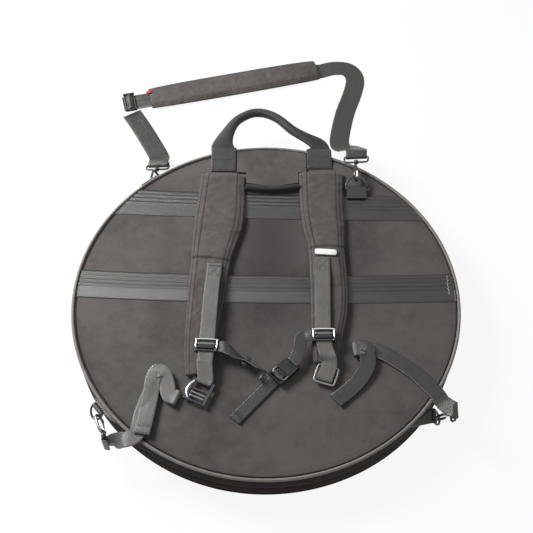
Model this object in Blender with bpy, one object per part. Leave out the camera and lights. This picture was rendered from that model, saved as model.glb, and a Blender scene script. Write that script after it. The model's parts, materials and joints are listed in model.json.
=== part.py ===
# Padded round bag for cymbals, with a backpack harness, a grab handle and a shoulder strap.
# It lies on its front panel. +Z is up, +Y runs from the foot to the grab handle, metres.

import math

import bmesh
import bpy
from mathutils import Matrix, Vector

# The round shell
BAG_RADIUS = 0.320
BAG_HEIGHT = 0.058
WALL = 0.004
WALL_BULGE = 0.0006
FRONT_PANEL_THICKNESS = 0.006
BACK_PANEL_THICKNESS = 0.007
PANEL_EDGE_ROUND = 0.002
PIPING_RADIUS = 0.0026
DIVIDER_MARGIN = 0.020
DIVIDER_THICKNESS = 0.004
DIVIDER_FOOT_MARGIN = 0.004
FACETS = 72

# The zip
ZIP_LEVEL = 0.029
ZIP_SLIT = 0.0016
ZIP_TAPE_HEIGHT = 0.0020
ZIP_TAPE_THICKNESS = 0.0026
ZIP_COIL_RADIUS = 0.0006
SLIDER_LENGTH = 0.010
SLIDER_HEIGHT = 0.008
SLIDER_PLATE = 0.0014
SLIDER_ANGLES = (96.0, 84.0)
PULL_LENGTH = 0.022
PULL_WIDTH = 0.0045
PULL_THICKNESS = 0.0010
PULL_PIN_RADIUS = 0.0006

# Clearances between pieces
GAP = 0.0003
RUNNING_GAP = 0.0005
OVERRUN = 0.002

# Webbing
WEB_THICKNESS = 0.0016
BAND_WIDTH = 0.054
HARNESS_WEB_WIDTH = 0.025
STERNUM_WEB_WIDTH = 0.020
SHOULDER_WEB_WIDTH = 0.038
ANCHOR_WEB_WIDTH = 0.046
TAB_WIDTH = 0.038
TAB_LENGTH = 0.020
LOW_REACH = 0.006
LOOP_REACH = 0.012

# The padded parts
PAD_THICKNESS = 0.012
PAD_WIDTH = 0.086
SHOULDER_PAD_WIDTH = 0.058
SHOULDER_PAD_THICKNESS = 0.009
SHOULDER_PAD_LENGTH = 0.345
GLIDE_DISTANCE = 0.042
ROLL_RADIUS = 0.006
YOKE_THICKNESS = 0.003
GRIP_RADIUS = 0.0085
GRIP_RISE = 0.008
WEB_LIFT = 0.0036

# The metal and plastic fittings
RING_WIRE_RADIUS = 0.0020
TOP_RING_WIDTH = 0.043
TOP_RING_DEPTH = 0.022
LOW_RING_WIDTH = 0.030
LOW_RING_DEPTH = 0.018
BOTTOM_RING_WIDTH = 0.033
BOTTOM_RING_LENGTH = 0.031
HOOK_WIRE_RADIUS = 0.0024
HOOK_BEND_RADIUS = 0.0085
HOOK_REACH = 0.030
HOOK_PIN_RADIUS = 0.0019
NOSE_GAP = 0.0026
RING_PLAY = 0.0005
GATE_RADIUS = 0.0016
SWIVEL_BAR = 0.004
SWIVEL_WINDOW = 0.009
SLIDE_RAIL = 0.003
SLIDE_LENGTH = 0.022
SLIDE_BAR = 0.0024
LOCK_LENGTH = 0.038
LOCK_BAR = 0.0032
BUCKLE_WIDTH = 0.028
BUCKLE_HEIGHT = 0.008
BUCKLE_SOCKET_LENGTH = 0.024
BUCKLE_PLUG_LENGTH = 0.019
BUCKLE_PRONG_LENGTH = 0.016
BUCKLE_WALL = 0.0018
THREAD_GAP = 0.0006

# Sizes and heights that follow from the sizes above
FOLD_SHARE = 0.81875
FOLD_DISTANCE = BAG_RADIUS * FOLD_SHARE
DIVIDER_RADIUS = BAG_RADIUS - DIVIDER_MARGIN
BACK_TOP = BAG_HEIGHT
ON_PANEL = BACK_TOP + GAP
ON_BANDS = ON_PANEL + WEB_THICKNESS + GAP
PANEL_RADIUS = BAG_RADIUS - WALL - GAP
PIPING_RING_RADIUS = PANEL_RADIUS + GAP + PIPING_RADIUS
PIPING_SINK_SHARE = 0.3
PIPING_LEVEL = BAG_HEIGHT - PIPING_RADIUS * PIPING_SINK_SHARE
PIPING_TOP = PIPING_LEVEL + PIPING_RADIUS
GUSSET_TOP = PIPING_LEVEL - PIPING_RADIUS - GAP
SLIT_LOW = ZIP_LEVEL - ZIP_SLIT / 2
SLIT_HIGH = ZIP_LEVEL + ZIP_SLIT / 2
LOW_WALL_TOP = SLIT_LOW - ZIP_TAPE_HEIGHT - GAP
HIGH_WALL_BOTTOM = SLIT_HIGH + ZIP_TAPE_HEIGHT + GAP
PIECE_RADIUS = PANEL_RADIUS - GAP * 4
HOOK_POINT = HOOK_REACH + HOOK_BEND_RADIUS - HOOK_WIRE_RADIUS - RING_WIRE_RADIUS - NOSE_GAP
BASE_BAR = SWIVEL_WINDOW + SWIVEL_BAR * 1.5

UP = Vector((0, 0, 1))
RIGHT = Vector((1, 0, 0))
AWAY = Vector((0, 1, 0))


def clear_scene():
    for obj in list(bpy.data.objects):
        bpy.data.objects.remove(obj, do_unlink=True)


def look(name, colour, roughness, metallic=0.0):
    material = bpy.data.materials.new(name)
    material.use_nodes = True
    shader = material.node_tree.nodes["Principled BSDF"]
    shader.inputs["Base Color"].default_value = (*colour, 1)
    shader.inputs["Roughness"].default_value = roughness
    shader.inputs["Metallic"].default_value = metallic
    return material


def place(share_x, share_y, height):
    """A point given by shares of the bag's radius and a height."""
    return Vector((share_x * BAG_RADIUS, share_y * BAG_RADIUS, height))


def polar(radius, degrees, height):
    angle = math.radians(degrees)
    return Vector((radius * math.cos(angle), radius * math.sin(angle), height))


# Building surfaces

def skin(sections, closed=False):
    """A closed body through a row of outlines with the same number of points."""
    bm = bmesh.new()
    rows = [[bm.verts.new(point) for point in section] for section in sections]
    pairs = list(zip(rows, rows[1:]))
    if closed:
        pairs.append((rows[-1], rows[0]))
    count = len(rows[0])
    for near, far in pairs:
        for k in range(count):
            following = (k + 1) % count
            bm.faces.new((near[k], near[following], far[following], far[k]))
    if not closed:
        bm.faces.new(rows[0][::-1])
        bm.faces.new(rows[-1])
    bmesh.ops.recalc_face_normals(bm, faces=bm.faces[:])
    return bm


def circle(radius, height, count=FACETS):
    return [polar(radius, 360 * k / count, height) for k in range(count)]


def turned_ring(profile):
    """A closed profile of (radius, height) carried round the bag's axis."""
    return skin(
        [[polar(radius, 360 * k / FACETS, height) for radius, height in profile] for k in range(FACETS)],
        closed=True,
    )


def cut_away(bm, point, direction):
    """Removes what lies past a plane and closes the cut."""
    everything = bm.verts[:] + bm.edges[:] + bm.faces[:]
    bmesh.ops.bisect_plane(bm, geom=everything, plane_co=point, plane_no=direction, clear_outer=True)
    bmesh.ops.holes_fill(bm, edges=[edge for edge in bm.edges if edge.is_boundary])
    bmesh.ops.recalc_face_normals(bm, faces=bm.faces[:])
    return bm


def lid_side(bm):
    return cut_away(bm, Vector((0, -FOLD_DISTANCE + GAP / 2, 0)), -AWAY)


def foot_side(bm):
    return cut_away(bm, Vector((0, -FOLD_DISTANCE - GAP / 2, 0)), AWAY)


def smooth(points, steps):
    """Catmull-Rom curve through the points, with this many steps between neighbours."""
    ends = [points[0] * 2 - points[1], *points, points[-1] * 2 - points[-2]]
    curve = []
    for a, b, c, d in zip(ends, ends[1:], ends[2:], ends[3:]):
        for step in range(steps):
            t = step / steps
            curve.append(
                (b * 2 + (c - a) * t + (a * 2 - b * 5 + c * 4 - d) * t ** 2 + (b * 3 - a - c * 3 + d) * t ** 3) / 2
            )
    return [*curve, points[-1].copy()]


def directions(path, closed=False):
    last = len(path) - 1
    found = []
    for k in range(len(path)):
        before = path[k - 1] if closed or k else path[0]
        after = path[(k + 1) % len(path)] if closed or k < last else path[last]
        found.append((after - before).normalized())
    return found


FLAT_SHARES = ((-0.5, -0.5), (0.5, -0.5), (0.5, 0.5), (-0.5, 0.5))
PAD_SHARES = (
    (-0.44, 0), (0.44, 0), (0.5, 0.22), (0.5, 0.55), (0.43, 0.84), (0.22, 0.97),
    (-0.22, 0.97), (-0.43, 0.84), (-0.5, 0.55), (-0.5, 0.22),
)


def round_shares(count):
    return tuple(
        (math.cos(math.tau * k / count) / 2, math.sin(math.tau * k / count) / 2) for k in range(count)
    )


def along(path, widths, heights, shares, sides=None, closed=False):
    """A section given by shares of a width and a height, carried along a path.

    Without sides the section's width lies level. A side is the direction of the width.
    """
    sections = []
    for k, (point, forward) in enumerate(zip(path, directions(path, closed))):
        side = sides[k] if sides else forward.cross(UP)
        side = (side - forward * side.dot(forward)).normalized()
        upward = side.cross(forward)
        width = widths[k] if isinstance(widths, list) else widths
        height = heights[k] if isinstance(heights, list) else heights
        sections.append([point + side * width * a + upward * height * b for a, b in shares])
    return skin(sections, closed)


def strap(points, width, sides=None, steps=4, thickness=WEB_THICKNESS):
    """Flat webbing along a smooth curve."""
    path = smooth(points, steps)
    across = smooth(sides, steps) if sides else None
    return along(path, width, thickness, FLAT_SHARES, across)


def wire(points, radius, normal, closed=False, count=8):
    sides = [forward.cross(normal) for forward in directions(points, closed)]
    return along(points, radius * 2, radius * 2, round_shares(count), sides, closed)


def prism(outline, low, high):
    return skin([[Vector((x, y, low)) for x, y in outline], [Vector((x, y, high)) for x, y in outline]])


def box(centre, size):
    x, y, z = (side / 2 for side in size)
    outline = ((-x, -y), (x, -y), (x, y), (-x, y))
    bm = prism(outline, -z, z)
    bmesh.ops.translate(bm, verts=bm.verts[:], vec=centre)
    return bm


def moved(bm, matrix):
    bmesh.ops.transform(bm, matrix=matrix, verts=bm.verts[:])
    return bm


def facing(origin, forward, normal):
    """Local +Y to forward, local +Z to normal, at the origin."""
    forward = forward.normalized()
    side = forward.cross(normal).normalized()
    normal = side.cross(forward)
    return Matrix.Translation(origin) @ Matrix((side, forward, normal)).transposed().to_4x4()


# Objects

SMOOTH_ANGLE = 35


def add_object(name, bm, material=None):
    mesh = bpy.data.meshes.new(name)
    bm.to_mesh(mesh)
    bm.free()
    obj = bpy.data.objects.new(name, mesh)
    bpy.context.scene.collection.objects.link(obj)
    if material:
        mesh.materials.append(material)
        mesh.shade_smooth()
        mesh.set_sharp_from_angle(angle=math.radians(SMOOTH_ANGLE))
    return obj


def combine(obj, shapes, operation):
    """Joins the shapes to an object, or cuts them from it, through hidden helpers."""
    for number, shape in enumerate(shapes):
        helper = add_object(f"{obj.name}_{operation.lower()}_{number}", shape)
        helper.hide_render = True
        helper.display_type = "WIRE"
        helper.parent = obj.parent
        helper.location = obj.location
        modifier = obj.modifiers.new(f"{operation.title()} {number}", "BOOLEAN")
        modifier.operation = operation
        modifier.object = helper
        modifier.solver = "EXACT"


def pivot(name, point, axis):
    """An empty on a joint, which also notes the direction of the joint's axis."""
    empty = bpy.data.objects.new(name, None)
    empty.location = point
    empty["axis"] = list(axis.normalized())
    empty.empty_display_size = WALL
    bpy.context.scene.collection.objects.link(empty)
    return empty


def hang(empty, *objects):
    """Puts objects on a joint's empty, and leaves them where they are."""
    for obj in objects:
        obj.parent = empty
        obj.location = -empty.location
        for modifier in obj.modifiers:
            modifier.object.parent = empty
            modifier.object.location = -empty.location


# The shell's fixed half: front panel, lower wall, foot

def wall_profile(low, high):
    inner = BAG_RADIUS - WALL
    middle = (low + high) / 2
    return (
        (inner, low),
        (BAG_RADIUS, low),
        (BAG_RADIUS + WALL_BULGE, middle),
        (BAG_RADIUS, high),
        (inner, high),
        (inner, middle),
    )


def low_wall_profile():
    """The lower wall, with the front seam's piping as a roll at its foot."""
    inner = BAG_RADIUS - WALL
    centre = (PIPING_RING_RADIUS, PIPING_RADIUS + GAP)
    roll = [
        (centre[0] + PIPING_RADIUS * math.cos(math.radians(a)), centre[1] + PIPING_RADIUS * math.sin(math.radians(a)))
        for a in range(-120, 61, 36)
    ]
    neck = PIPING_RADIUS * 2 + GAP
    return (
        (inner, GAP), *roll, (BAG_RADIUS, neck + GAP), (BAG_RADIUS + WALL_BULGE, (neck + LOW_WALL_TOP) / 2),
        (BAG_RADIUS, LOW_WALL_TOP), (inner, LOW_WALL_TOP),
    )


def piping_profile(count=8):
    return [
        (
            PIPING_RING_RADIUS + PIPING_RADIUS * math.cos(math.tau * k / count),
            PIPING_LEVEL + PIPING_RADIUS * math.sin(math.tau * k / count),
        )
        for k in range(count)
    ]


def foot_wall_profile():
    """The foot's wall, the full height above the lower wall, with its stretch of piping on top."""
    inner = BAG_RADIUS - WALL
    roll = [
        (
            PIPING_RING_RADIUS + PIPING_RADIUS * math.cos(math.radians(a)),
            PIPING_LEVEL + PIPING_RADIUS * math.sin(math.radians(a)),
        )
        for a in range(-45, 166, 42)
    ]
    low = LOW_WALL_TOP + GAP
    return (
        (inner, low), (BAG_RADIUS, low), (BAG_RADIUS + WALL_BULGE, (low + GUSSET_TOP) / 2),
        (BAG_RADIUS, GUSSET_TOP), *roll, (inner, GUSSET_TOP),
    )


TAPE_SHOULDER_SHARE = 0.55


def tape_profile(edge, slit):
    """A zip tape from its sewn edge to the coil beside the slit."""
    inner = BAG_RADIUS - (WALL + ZIP_TAPE_THICKNESS) / 2
    outer = inner + ZIP_TAPE_THICKNESS
    shoulder = slit + (edge - slit) * TAPE_SHOULDER_SHARE
    return (
        (inner, edge), (outer, edge), (outer, shoulder), (outer + ZIP_COIL_RADIUS, (shoulder + slit) / 2),
        (outer, slit), (inner, slit),
    )


def panel_disc(radius, low, high, round_low, round_high):
    return skin([
        circle(radius - round_low, low),
        circle(radius, low + round_low),
        circle(radius, high - round_high),
        circle(radius - round_high, high),
    ])


def back_disc():
    return panel_disc(
        PANEL_RADIUS, BACK_TOP - BACK_PANEL_THICKNESS, BACK_TOP, PANEL_EDGE_ROUND / 2, PANEL_EDGE_ROUND
    )


def make_shell(looks):
    fabric = looks["shell_fabric"]
    binding = looks["piping"]
    tape = looks["zip_tape"]
    add_object(
        "front_panel",
        panel_disc(PANEL_RADIUS, 0, FRONT_PANEL_THICKNESS, PANEL_EDGE_ROUND / 2, PANEL_EDGE_ROUND / 2),
        fabric,
    )
    add_object("lower_gusset", turned_ring(low_wall_profile()), fabric)
    add_object("lower_zip_tape", lid_side(turned_ring(tape_profile(LOW_WALL_TOP + GAP, SLIT_LOW))), tape)
    add_object("foot_gusset", foot_side(turned_ring(foot_wall_profile())), fabric)
    add_object("foot_panel", foot_side(back_disc()), fabric)
    lid = [
        add_object("back_panel", lid_side(back_disc()), fabric),
        add_object("back_piping", lid_side(turned_ring(piping_profile())), binding),
        add_object("upper_gusset", lid_side(turned_ring(wall_profile(HIGH_WALL_BOTTOM, GUSSET_TOP))), fabric),
        add_object("upper_zip_tape", lid_side(turned_ring(tape_profile(HIGH_WALL_BOTTOM - GAP, SLIT_HIGH))), tape),
    ]
    return lid


def make_divider(looks):
    """A loose padded disc between cymbals, sewn at the foot."""
    low = FRONT_PANEL_THICKNESS + GAP
    disc = skin([
        circle(DIVIDER_RADIUS - DIVIDER_THICKNESS / 4, low, FACETS),
        circle(DIVIDER_RADIUS, low + DIVIDER_THICKNESS / 2, FACETS),
        circle(DIVIDER_RADIUS - DIVIDER_THICKNESS / 4, low + DIVIDER_THICKNESS, FACETS),
    ])
    foot = Vector((0, DIVIDER_FOOT_MARGIN - FOLD_DISTANCE, 0))
    divider = add_object("divider", cut_away(disc, foot, -AWAY), looks["divider_fabric"])
    hang(pivot("divider_axis", Vector((0, foot.y, low)), RIGHT), divider)


# The zip's sliders

def slider_frame(degrees):
    """Local +X along the zip, +Y outwards, +Z up, from the bag's axis at the zip's level."""
    outward = polar(1, degrees, 0)
    return facing(Vector((0, 0, ZIP_LEVEL)), outward, UP)


def make_slider(side, degrees, looks):
    """A plate over both tapes, a post in the slit and a flange behind the lower tape, with the pull in front."""
    tape_inner = BAG_RADIUS - (WALL + ZIP_TAPE_THICKNESS) / 2
    tape_outer = tape_inner + ZIP_TAPE_THICKNESS + ZIP_COIL_RADIUS
    out_low = tape_outer + RUNNING_GAP
    out_high = out_low + SLIDER_PLATE
    in_high = tape_inner - RUNNING_GAP * 6
    flange = ZIP_SLIT / 2 + ZIP_TAPE_HEIGHT
    in_low = in_high - SLIDER_PLATE
    half = SLIDER_HEIGHT / 2
    post = ZIP_SLIT / 2 - GAP
    outline = (
        (in_low, -flange), (in_high, -flange), (in_high, -post), (out_low, -post), (out_low, -half),
        (out_high, -half), (out_high, half), (out_low, half), (out_low, post), (in_low, post),
    )
    frame = slider_frame(degrees)
    length = SLIDER_LENGTH / 2
    body = skin([[frame @ Vector((x, r, z)) for r, z in outline] for x in (-length, length)])
    slider = add_object(f"zip_slider_{side}", body, looks["zip_metal"])

    ear = SLIDER_PLATE
    ear_place = PULL_WIDTH / 2 + GAP + ear / 2
    pin_out = out_high + PULL_THICKNESS + RUNNING_GAP * 2
    pin_up = half - ear
    ear_depth = pin_out + PULL_THICKNESS / 2 - out_high
    ears = [
        moved(
            box(Vector((sign * ear_place, out_high + (ear_depth - OVERRUN / 2) / 2, pin_up)),
                (ear, ear_depth + OVERRUN / 2, ear)),
            frame,
        )
        for sign in (-1, 1)
    ]
    combine(slider, ears, "UNION")
    pin = wire(
        [frame @ Vector((sign * (ear_place + ear / 4), pin_out, pin_up)) for sign in (-1, 1)],
        PULL_PIN_RADIUS, UP,
    )
    combine(slider, [pin], "UNION")

    eye = PULL_PIN_RADIUS + GAP + PULL_THICKNESS / 2
    plate = moved(
        box(Vector((0, pin_out, pin_up - PULL_LENGTH / 2 + eye)), (PULL_WIDTH, PULL_THICKNESS * 2, PULL_LENGTH)),
        frame,
    )
    pull = add_object(f"zip_pull_{side}", plate, looks["zip_metal"])
    hole = wire(
        [frame @ Vector((sign * PULL_WIDTH, pin_out, pin_up)) for sign in (-1, 1)], PULL_PIN_RADIUS + GAP, UP, count=8,
    )
    slim = [
        moved(
            box(Vector((0, pin_out + sign * PULL_THICKNESS, pin_up - PULL_LENGTH / 2 - eye)),
                (PULL_WIDTH * 2, PULL_THICKNESS, PULL_LENGTH)),
            frame,
        )
        for sign in (-1, 1)
    ]
    combine(pull, [hole, *slim], "DIFFERENCE")
    hang(pivot(f"zip_slider_{side}_axis", Vector((0, 0, ZIP_LEVEL)), UP), slider)
    along_zip = frame.to_3x3() @ RIGHT
    hang(pivot(f"zip_pull_{side}_axis", frame @ Vector((0, pin_out, pin_up)), along_zip), pull)


# Bands, yoke and tabs on the back panel

UPPER_BAND_SHARES = ((-0.72, 0.612), (0, 0.575), (0.72, 0.558))
LOWER_BAND_SHARES = ((-0.98, 0.076), (0, 0.035), (0.98, 0.045))
YOKE_TOP_SHARES = (0.229, -0.165)
YOKE_FOOT_SHARES = (0.184, -0.112)
YOKE_STEP_SHARE = 0.812
YOKE_HEM_SHARES = (0.736, 0.712, 0.736)
ROLL_SHARES = ((0.184, 0.700), (0.11, 0.688), (0.035, 0.683), (-0.04, 0.688), (-0.112, 0.700))


def band_outline(middle_shares):
    """A band's outline, its ends cut to the round of the panel."""
    middle = [place(x, y, 0) for x, y in middle_shares]
    edges = []
    for sign in (1, -1):
        edge = []
        for k, point in enumerate(middle):
            y = point.y + sign * BAND_WIDTH / 2
            limit = math.sqrt(PIECE_RADIUS ** 2 - y ** 2)
            x = point.x if 0 < k < len(middle) - 1 else math.copysign(limit, point.x)
            edge.append((x, y))
        edges.append(edge)
    return edges[0] + edges[1][::-1]


def make_bands(looks):
    return [
        add_object(name, prism(band_outline(shares), ON_PANEL, ON_PANEL + WEB_THICKNESS), looks["webbing"])
        for name, shares in (("upper_band", UPPER_BAND_SHARES), ("lower_band", LOWER_BAND_SHARES))
    ]


def make_yoke(looks):
    """The cloth panel between the pads' tops, and the padded roll sewn under its hem."""
    right_top, left_top = (share * BAG_RADIUS for share in YOKE_TOP_SHARES)
    right_foot, left_foot = (share * BAG_RADIUS for share in YOKE_FOOT_SHARES)
    step = YOKE_STEP_SHARE * BAG_RADIUS
    rim = PIECE_RADIUS - PANEL_EDGE_ROUND
    start = math.degrees(math.asin(right_top / rim))
    end = math.degrees(math.asin(left_top / rim))
    arc = [polar(rim, 90 - start + (start - end) * k / 8, 0) for k in range(9)]
    hem = smooth([
        Vector((left_foot, YOKE_HEM_SHARES[0] * BAG_RADIUS, 0)),
        Vector(((left_foot + right_foot) / 2, YOKE_HEM_SHARES[1] * BAG_RADIUS, 0)),
        Vector((right_foot, YOKE_HEM_SHARES[2] * BAG_RADIUS, 0)),
    ], 3)
    outline = [(p.x, p.y) for p in arc] + [(left_top, step), (left_foot, step)]
    outline += [(p.x, p.y) for p in hem] + [(right_foot, step), (right_top, step)]
    yoke = add_object("yoke_panel", prism(outline, ON_PANEL, ON_PANEL + YOKE_THICKNESS), looks["shell_fabric"])

    height = ON_PANEL + ROLL_RADIUS
    path = smooth([place(x, y, height) for x, y in ROLL_SHARES], 2)
    roll = along(path, ROLL_RADIUS * 2, ROLL_RADIUS * 2, round_shares(10))
    return [yoke, add_object("yoke_roll", roll, looks["roll_fabric"])]


ANCHOR_LIFT_SHARE = 0.87
ANCHOR_DROP_SHARE = 7.5
ANCHOR_PLACES = (("left", -0.242, 0.822), ("right", 0.305, 0.842))


def make_anchor(side, share_x, share_y, looks):
    """Webbing sewn on the panel, over the piping and down the wall, which holds the handle's foot."""
    x = share_x * BAG_RADIUS
    inner_edge = abs(x) - ANCHOR_WEB_WIDTH / 2
    rim = math.sqrt((PIPING_RING_RADIUS + PIPING_RADIUS) ** 2 - inner_edge ** 2)
    half = WEB_THICKNESS / 2
    flat = ON_PANEL + half
    crest = PIPING_TOP + GAP + half
    outside = rim + RUNNING_GAP + half
    path = [
        Vector((x, share_y * BAG_RADIUS, flat)),
        Vector((x, PANEL_RADIUS * ANCHOR_LIFT_SHARE, flat)),
        Vector((x, rim - ANCHOR_WEB_WIDTH / 2, crest)),
        Vector((x, rim - half, crest)),
        Vector((x, outside, PIPING_TOP - PIPING_RADIUS / 2)),
        Vector((x, outside, PIPING_TOP - PIPING_RADIUS * 4)),
        Vector((x, outside, PIPING_TOP - PIPING_RADIUS * ANCHOR_DROP_SHARE)),
    ]
    body = along(path, ANCHOR_WEB_WIDTH, WEB_THICKNESS, FLAT_SHARES, [RIGHT] * len(path))
    return add_object(f"handle_anchor_{side}", body, looks["webbing"]), outside + half


# The grab handle

GRIP_ROUTE_SHARES = (
    (-0.250, 0.0, 0.0, 2.6, 0.30),
    (-0.250, 0.028, 0.05, 2.5, 0.33),
    (-0.243, 0.065, 0.2, 2.0, 0.42),
    (-0.217, 0.130, 0.6, 1.4, 0.65),
    (-0.170, 0.205, 0.9, 1.05, 1.0),
    (-0.085, 0.262, 1.0, 1.0, 1.0),
    (0.000, 0.262, 1.0, 1.0, 1.0),
    (0.080, 0.215, 1.0, 1.0, 1.0),
    (0.150, 0.145, 0.8, 1.1, 0.95),
    (0.222, 0.098, 0.5, 1.3, 0.70),
    (0.288, 0.058, 0.2, 1.8, 0.45),
    (0.306, 0.028, 0.05, 2.3, 0.33),
    (0.306, 0.0, 0.0, 2.6, 0.30),
)


HEEL_SHARES = (0.86, 0.3)


def make_handle(outsides, looks):
    """Webbing feet that gather into a round sewn grip. The shares are x and y out from
    the feet by the bag's radius, the rise, and the width and height by the grip's diameter."""
    foot_half = GRIP_RADIUS * GRIP_ROUTE_SHARES[0][4]
    foot_z = PIPING_TOP - PIPING_RADIUS * 3
    feet = [
        Vector((GRIP_ROUTE_SHARES[end][0] * BAG_RADIUS, outside + RUNNING_GAP + foot_half, foot_z))
        for end, outside in zip((0, -1), outsides)
    ]
    span = feet[1] - feet[0]
    steps = 2
    places = [
        feet[0] + span * ((x * BAG_RADIUS - feet[0].x) / span.x) + AWAY * y * BAG_RADIUS + UP * rise * GRIP_RISE
        for x, y, rise, _, _ in GRIP_ROUTE_SHARES
    ]
    sizes = [Vector((w, h, 0)) * GRIP_RADIUS * 2 for _, _, _, w, h in GRIP_ROUTE_SHARES]
    path = smooth(places, steps)
    size = smooth(sizes, steps)
    # The feet end in a thin rounded edge behind the axis they turn on.
    heel = -AWAY * foot_half * HEEL_SHARES[0]
    path = [path[0] + heel, *path, path[-1] + heel]
    thin = Vector((1, HEEL_SHARES[1], 1))
    size = [size[0] * thin, *size, size[-1] * thin]
    body = along(path, [s.x for s in size], [s.y for s in size], round_shares(10))
    grip = add_object("handle_grip", body, looks["handle_webbing"])
    hang(pivot("handle_axis", (feet[0] + feet[1]) / 2 + UP * foot_half, span), grip)


# The harness pads

PAD_LEFT_SHARES = (
    (-0.240, 0.789, 0.90), (-0.253, 0.488, 1.0), (-0.272, 0.344, 0.91), (-0.291, 0.206, 0.79),
    (-0.311, -0.053, 0.69), (-0.330, -0.288, 0.57), (-0.331, -0.469, 0.47),
)
PAD_RIGHT_SHARES = (
    (0.311, 0.800, 0.92), (0.309, 0.556, 0.885), (0.317, 0.400, 0.82), (0.325, 0.281, 0.72),
    (0.328, -0.053, 0.72), (0.303, -0.288, 0.56), (0.294, -0.403, 0.44),
)
PAD_END_HEIGHT_SHARES = (0.55, 1, 1, 1, 1, 1, 0.5)
HARNESS_AXIS_SHARE = 0.826
WEB_LEFT_SHARES = (
    (-0.268, 0.165, 0.0), (-0.271, 0.110, 0.15), (-0.277, 0.030, 1.0), (-0.284, -0.110, 1.0), (-0.291, -0.280, 1.0),
    (-0.297, -0.395, 1.0), (-0.299, -0.425, 0.85),
)
WEB_RIGHT_SHARES = (
    (0.297, 0.205, 0.0), (0.296, 0.150, 0.15), (0.293, 0.060, 1.0), (0.289, -0.080, 1.0), (0.286, -0.220, 1.0),
    (0.290, -0.330, 1.0), (0.302, -0.380, 0.85),
)
LOCK_PLACE_SHARES = (-0.300, -0.512)
LOCK_TURN = -24.0
BOTTOM_RING_PLACE_SHARES = (0.309, -0.424)
BOTTOM_RING_TURN = -18.0
BOTTOM_LOOP_SHARE = 0.76
BAR_LEVEL_SHARE = 4
RAIL_HEIGHT_SHARE = 1.35
BAR_RADIUS_SHARE = 0.45
LOCK_BAR_SHARES = (1, 0.12, -1)


def make_pad(side, shares, looks):
    steps = 3
    places = [place(x, y, ON_BANDS) for x, y, _ in shares]
    sizes = [
        Vector((share * PAD_WIDTH, end * PAD_THICKNESS, 0))
        for (_, _, share), end in zip(shares, PAD_END_HEIGHT_SHARES)
    ]
    size = smooth(sizes, steps)
    body = along(smooth(places, steps), [s.x for s in size], [s.y for s in size], PAD_SHARES)
    return add_object(f"pad_{side}", body, looks["pad_fabric"])


def level_frame(centre, turn):
    """Local +X turned about +Z, +Y towards the bag's top."""
    return Matrix.Translation(centre) @ Matrix.Rotation(math.radians(turn), 4, "Z")


def hairpin(frame, radius, reach, count=5):
    """Webbing that comes from +Y over a bar at the frame's origin, round it and back beneath."""
    turn = [
        frame @ Vector((0, -radius * math.sin(math.pi * k / (count - 1)), radius * math.cos(math.pi * k / (count - 1))))
        for k in range(count)
    ]
    return [*turn, frame @ Vector((0, reach, -radius))]


def make_pad_webbing(side, shares, frame, bar_radius, reach, entry, looks):
    """The light webbing down a pad, raised where the chest slider runs, and its loop round a bar."""
    low = ON_BANDS + PAD_THICKNESS + GAP + WEB_THICKNESS / 2
    radius = bar_radius + RUNNING_GAP * 2 + WEB_THICKNESS / 2
    run = [place(x, y, low + lift * WEB_LIFT) for x, y, lift in shares]
    run.append(frame @ Vector((0, entry, radius + GAP)))
    loop = hairpin(frame, radius, reach)
    level = -(frame.to_3x3() @ RIGHT)
    steps = 3
    path = smooth([*run, loop[0]], steps)[:-1] + loop
    straight = [-RIGHT] * (len(shares) - 1) + [(level - RIGHT) / 2, level, level]
    across = smooth(straight, steps)[:-1] + [level] * len(loop)
    body = along(path, HARNESS_WEB_WIDTH, WEB_THICKNESS, FLAT_SHARES, across)
    return add_object(f"pad_webbing_{side}", body, looks["webbing"])


def ladder(name, frame, width, length, bar, bar_shares, material):
    """A flat frame with cross bars: two side rails joined by round bars at the given places."""
    rails = [
        moved(box(Vector((sign * (width - bar) / 2, 0, 0)), (bar, length, bar * RAIL_HEIGHT_SHARE)), frame)
        for sign in (-1, 1)
    ]
    obj = add_object(name, rails[0], material)
    reach = (width - bar) / 2 + bar / 4
    span = (length - bar) / 2
    bars = [
        wire([frame @ Vector((-reach, y * span, 0)), frame @ Vector((reach, y * span, 0))], bar * BAR_RADIUS_SHARE, UP)
        for y in bar_shares
    ]
    # The bars reach from rail to rail, so they join first and the far rail last.
    combine(obj, [*bars, rails[1]], "UNION")
    return obj


def make_ladder_lock(looks):
    """The strap lock under the left pad's end: the top bar holds the pad's loop."""
    centre = place(*LOCK_PLACE_SHARES, ON_PANEL + WEB_THICKNESS * BAR_LEVEL_SHARE)
    frame = level_frame(centre, LOCK_TURN)
    width = HARNESS_WEB_WIDTH + LOCK_BAR * 2 + RUNNING_GAP * 8
    body_frame = frame @ Matrix.Translation((0, (LOCK_BAR - LOCK_LENGTH) / 2, 0))
    lock = ladder(
        "ladder_lock_left", body_frame, width, LOCK_LENGTH, LOCK_BAR, LOCK_BAR_SHARES, looks["dark_metal"]
    )
    hang(pivot("ladder_lock_axis", centre, -(frame.to_3x3() @ RIGHT)), lock)
    return frame


def make_bottom_ring(looks):
    """The open ring in the right pad's long loop."""
    centre = place(*BOTTOM_RING_PLACE_SHARES, ON_PANEL + WEB_THICKNESS * BAR_LEVEL_SHARE)
    frame = level_frame(centre, BOTTOM_RING_TURN)
    half = BOTTOM_RING_WIDTH / 2
    corners = ((-half, 0), (-half, -BOTTOM_RING_LENGTH), (half, -BOTTOM_RING_LENGTH), (half, 0))
    path = rounded(corners, RING_WIRE_RADIUS * 2, 3)
    ring = wire([frame @ Vector((x, y, 0)) for x, y in path], RING_WIRE_RADIUS, UP, closed=True)
    obj = add_object("bottom_ring_right", ring, looks["bright_metal"])
    hang(pivot("bottom_ring_axis", centre, -(frame.to_3x3() @ RIGHT)), obj)
    return frame


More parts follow.
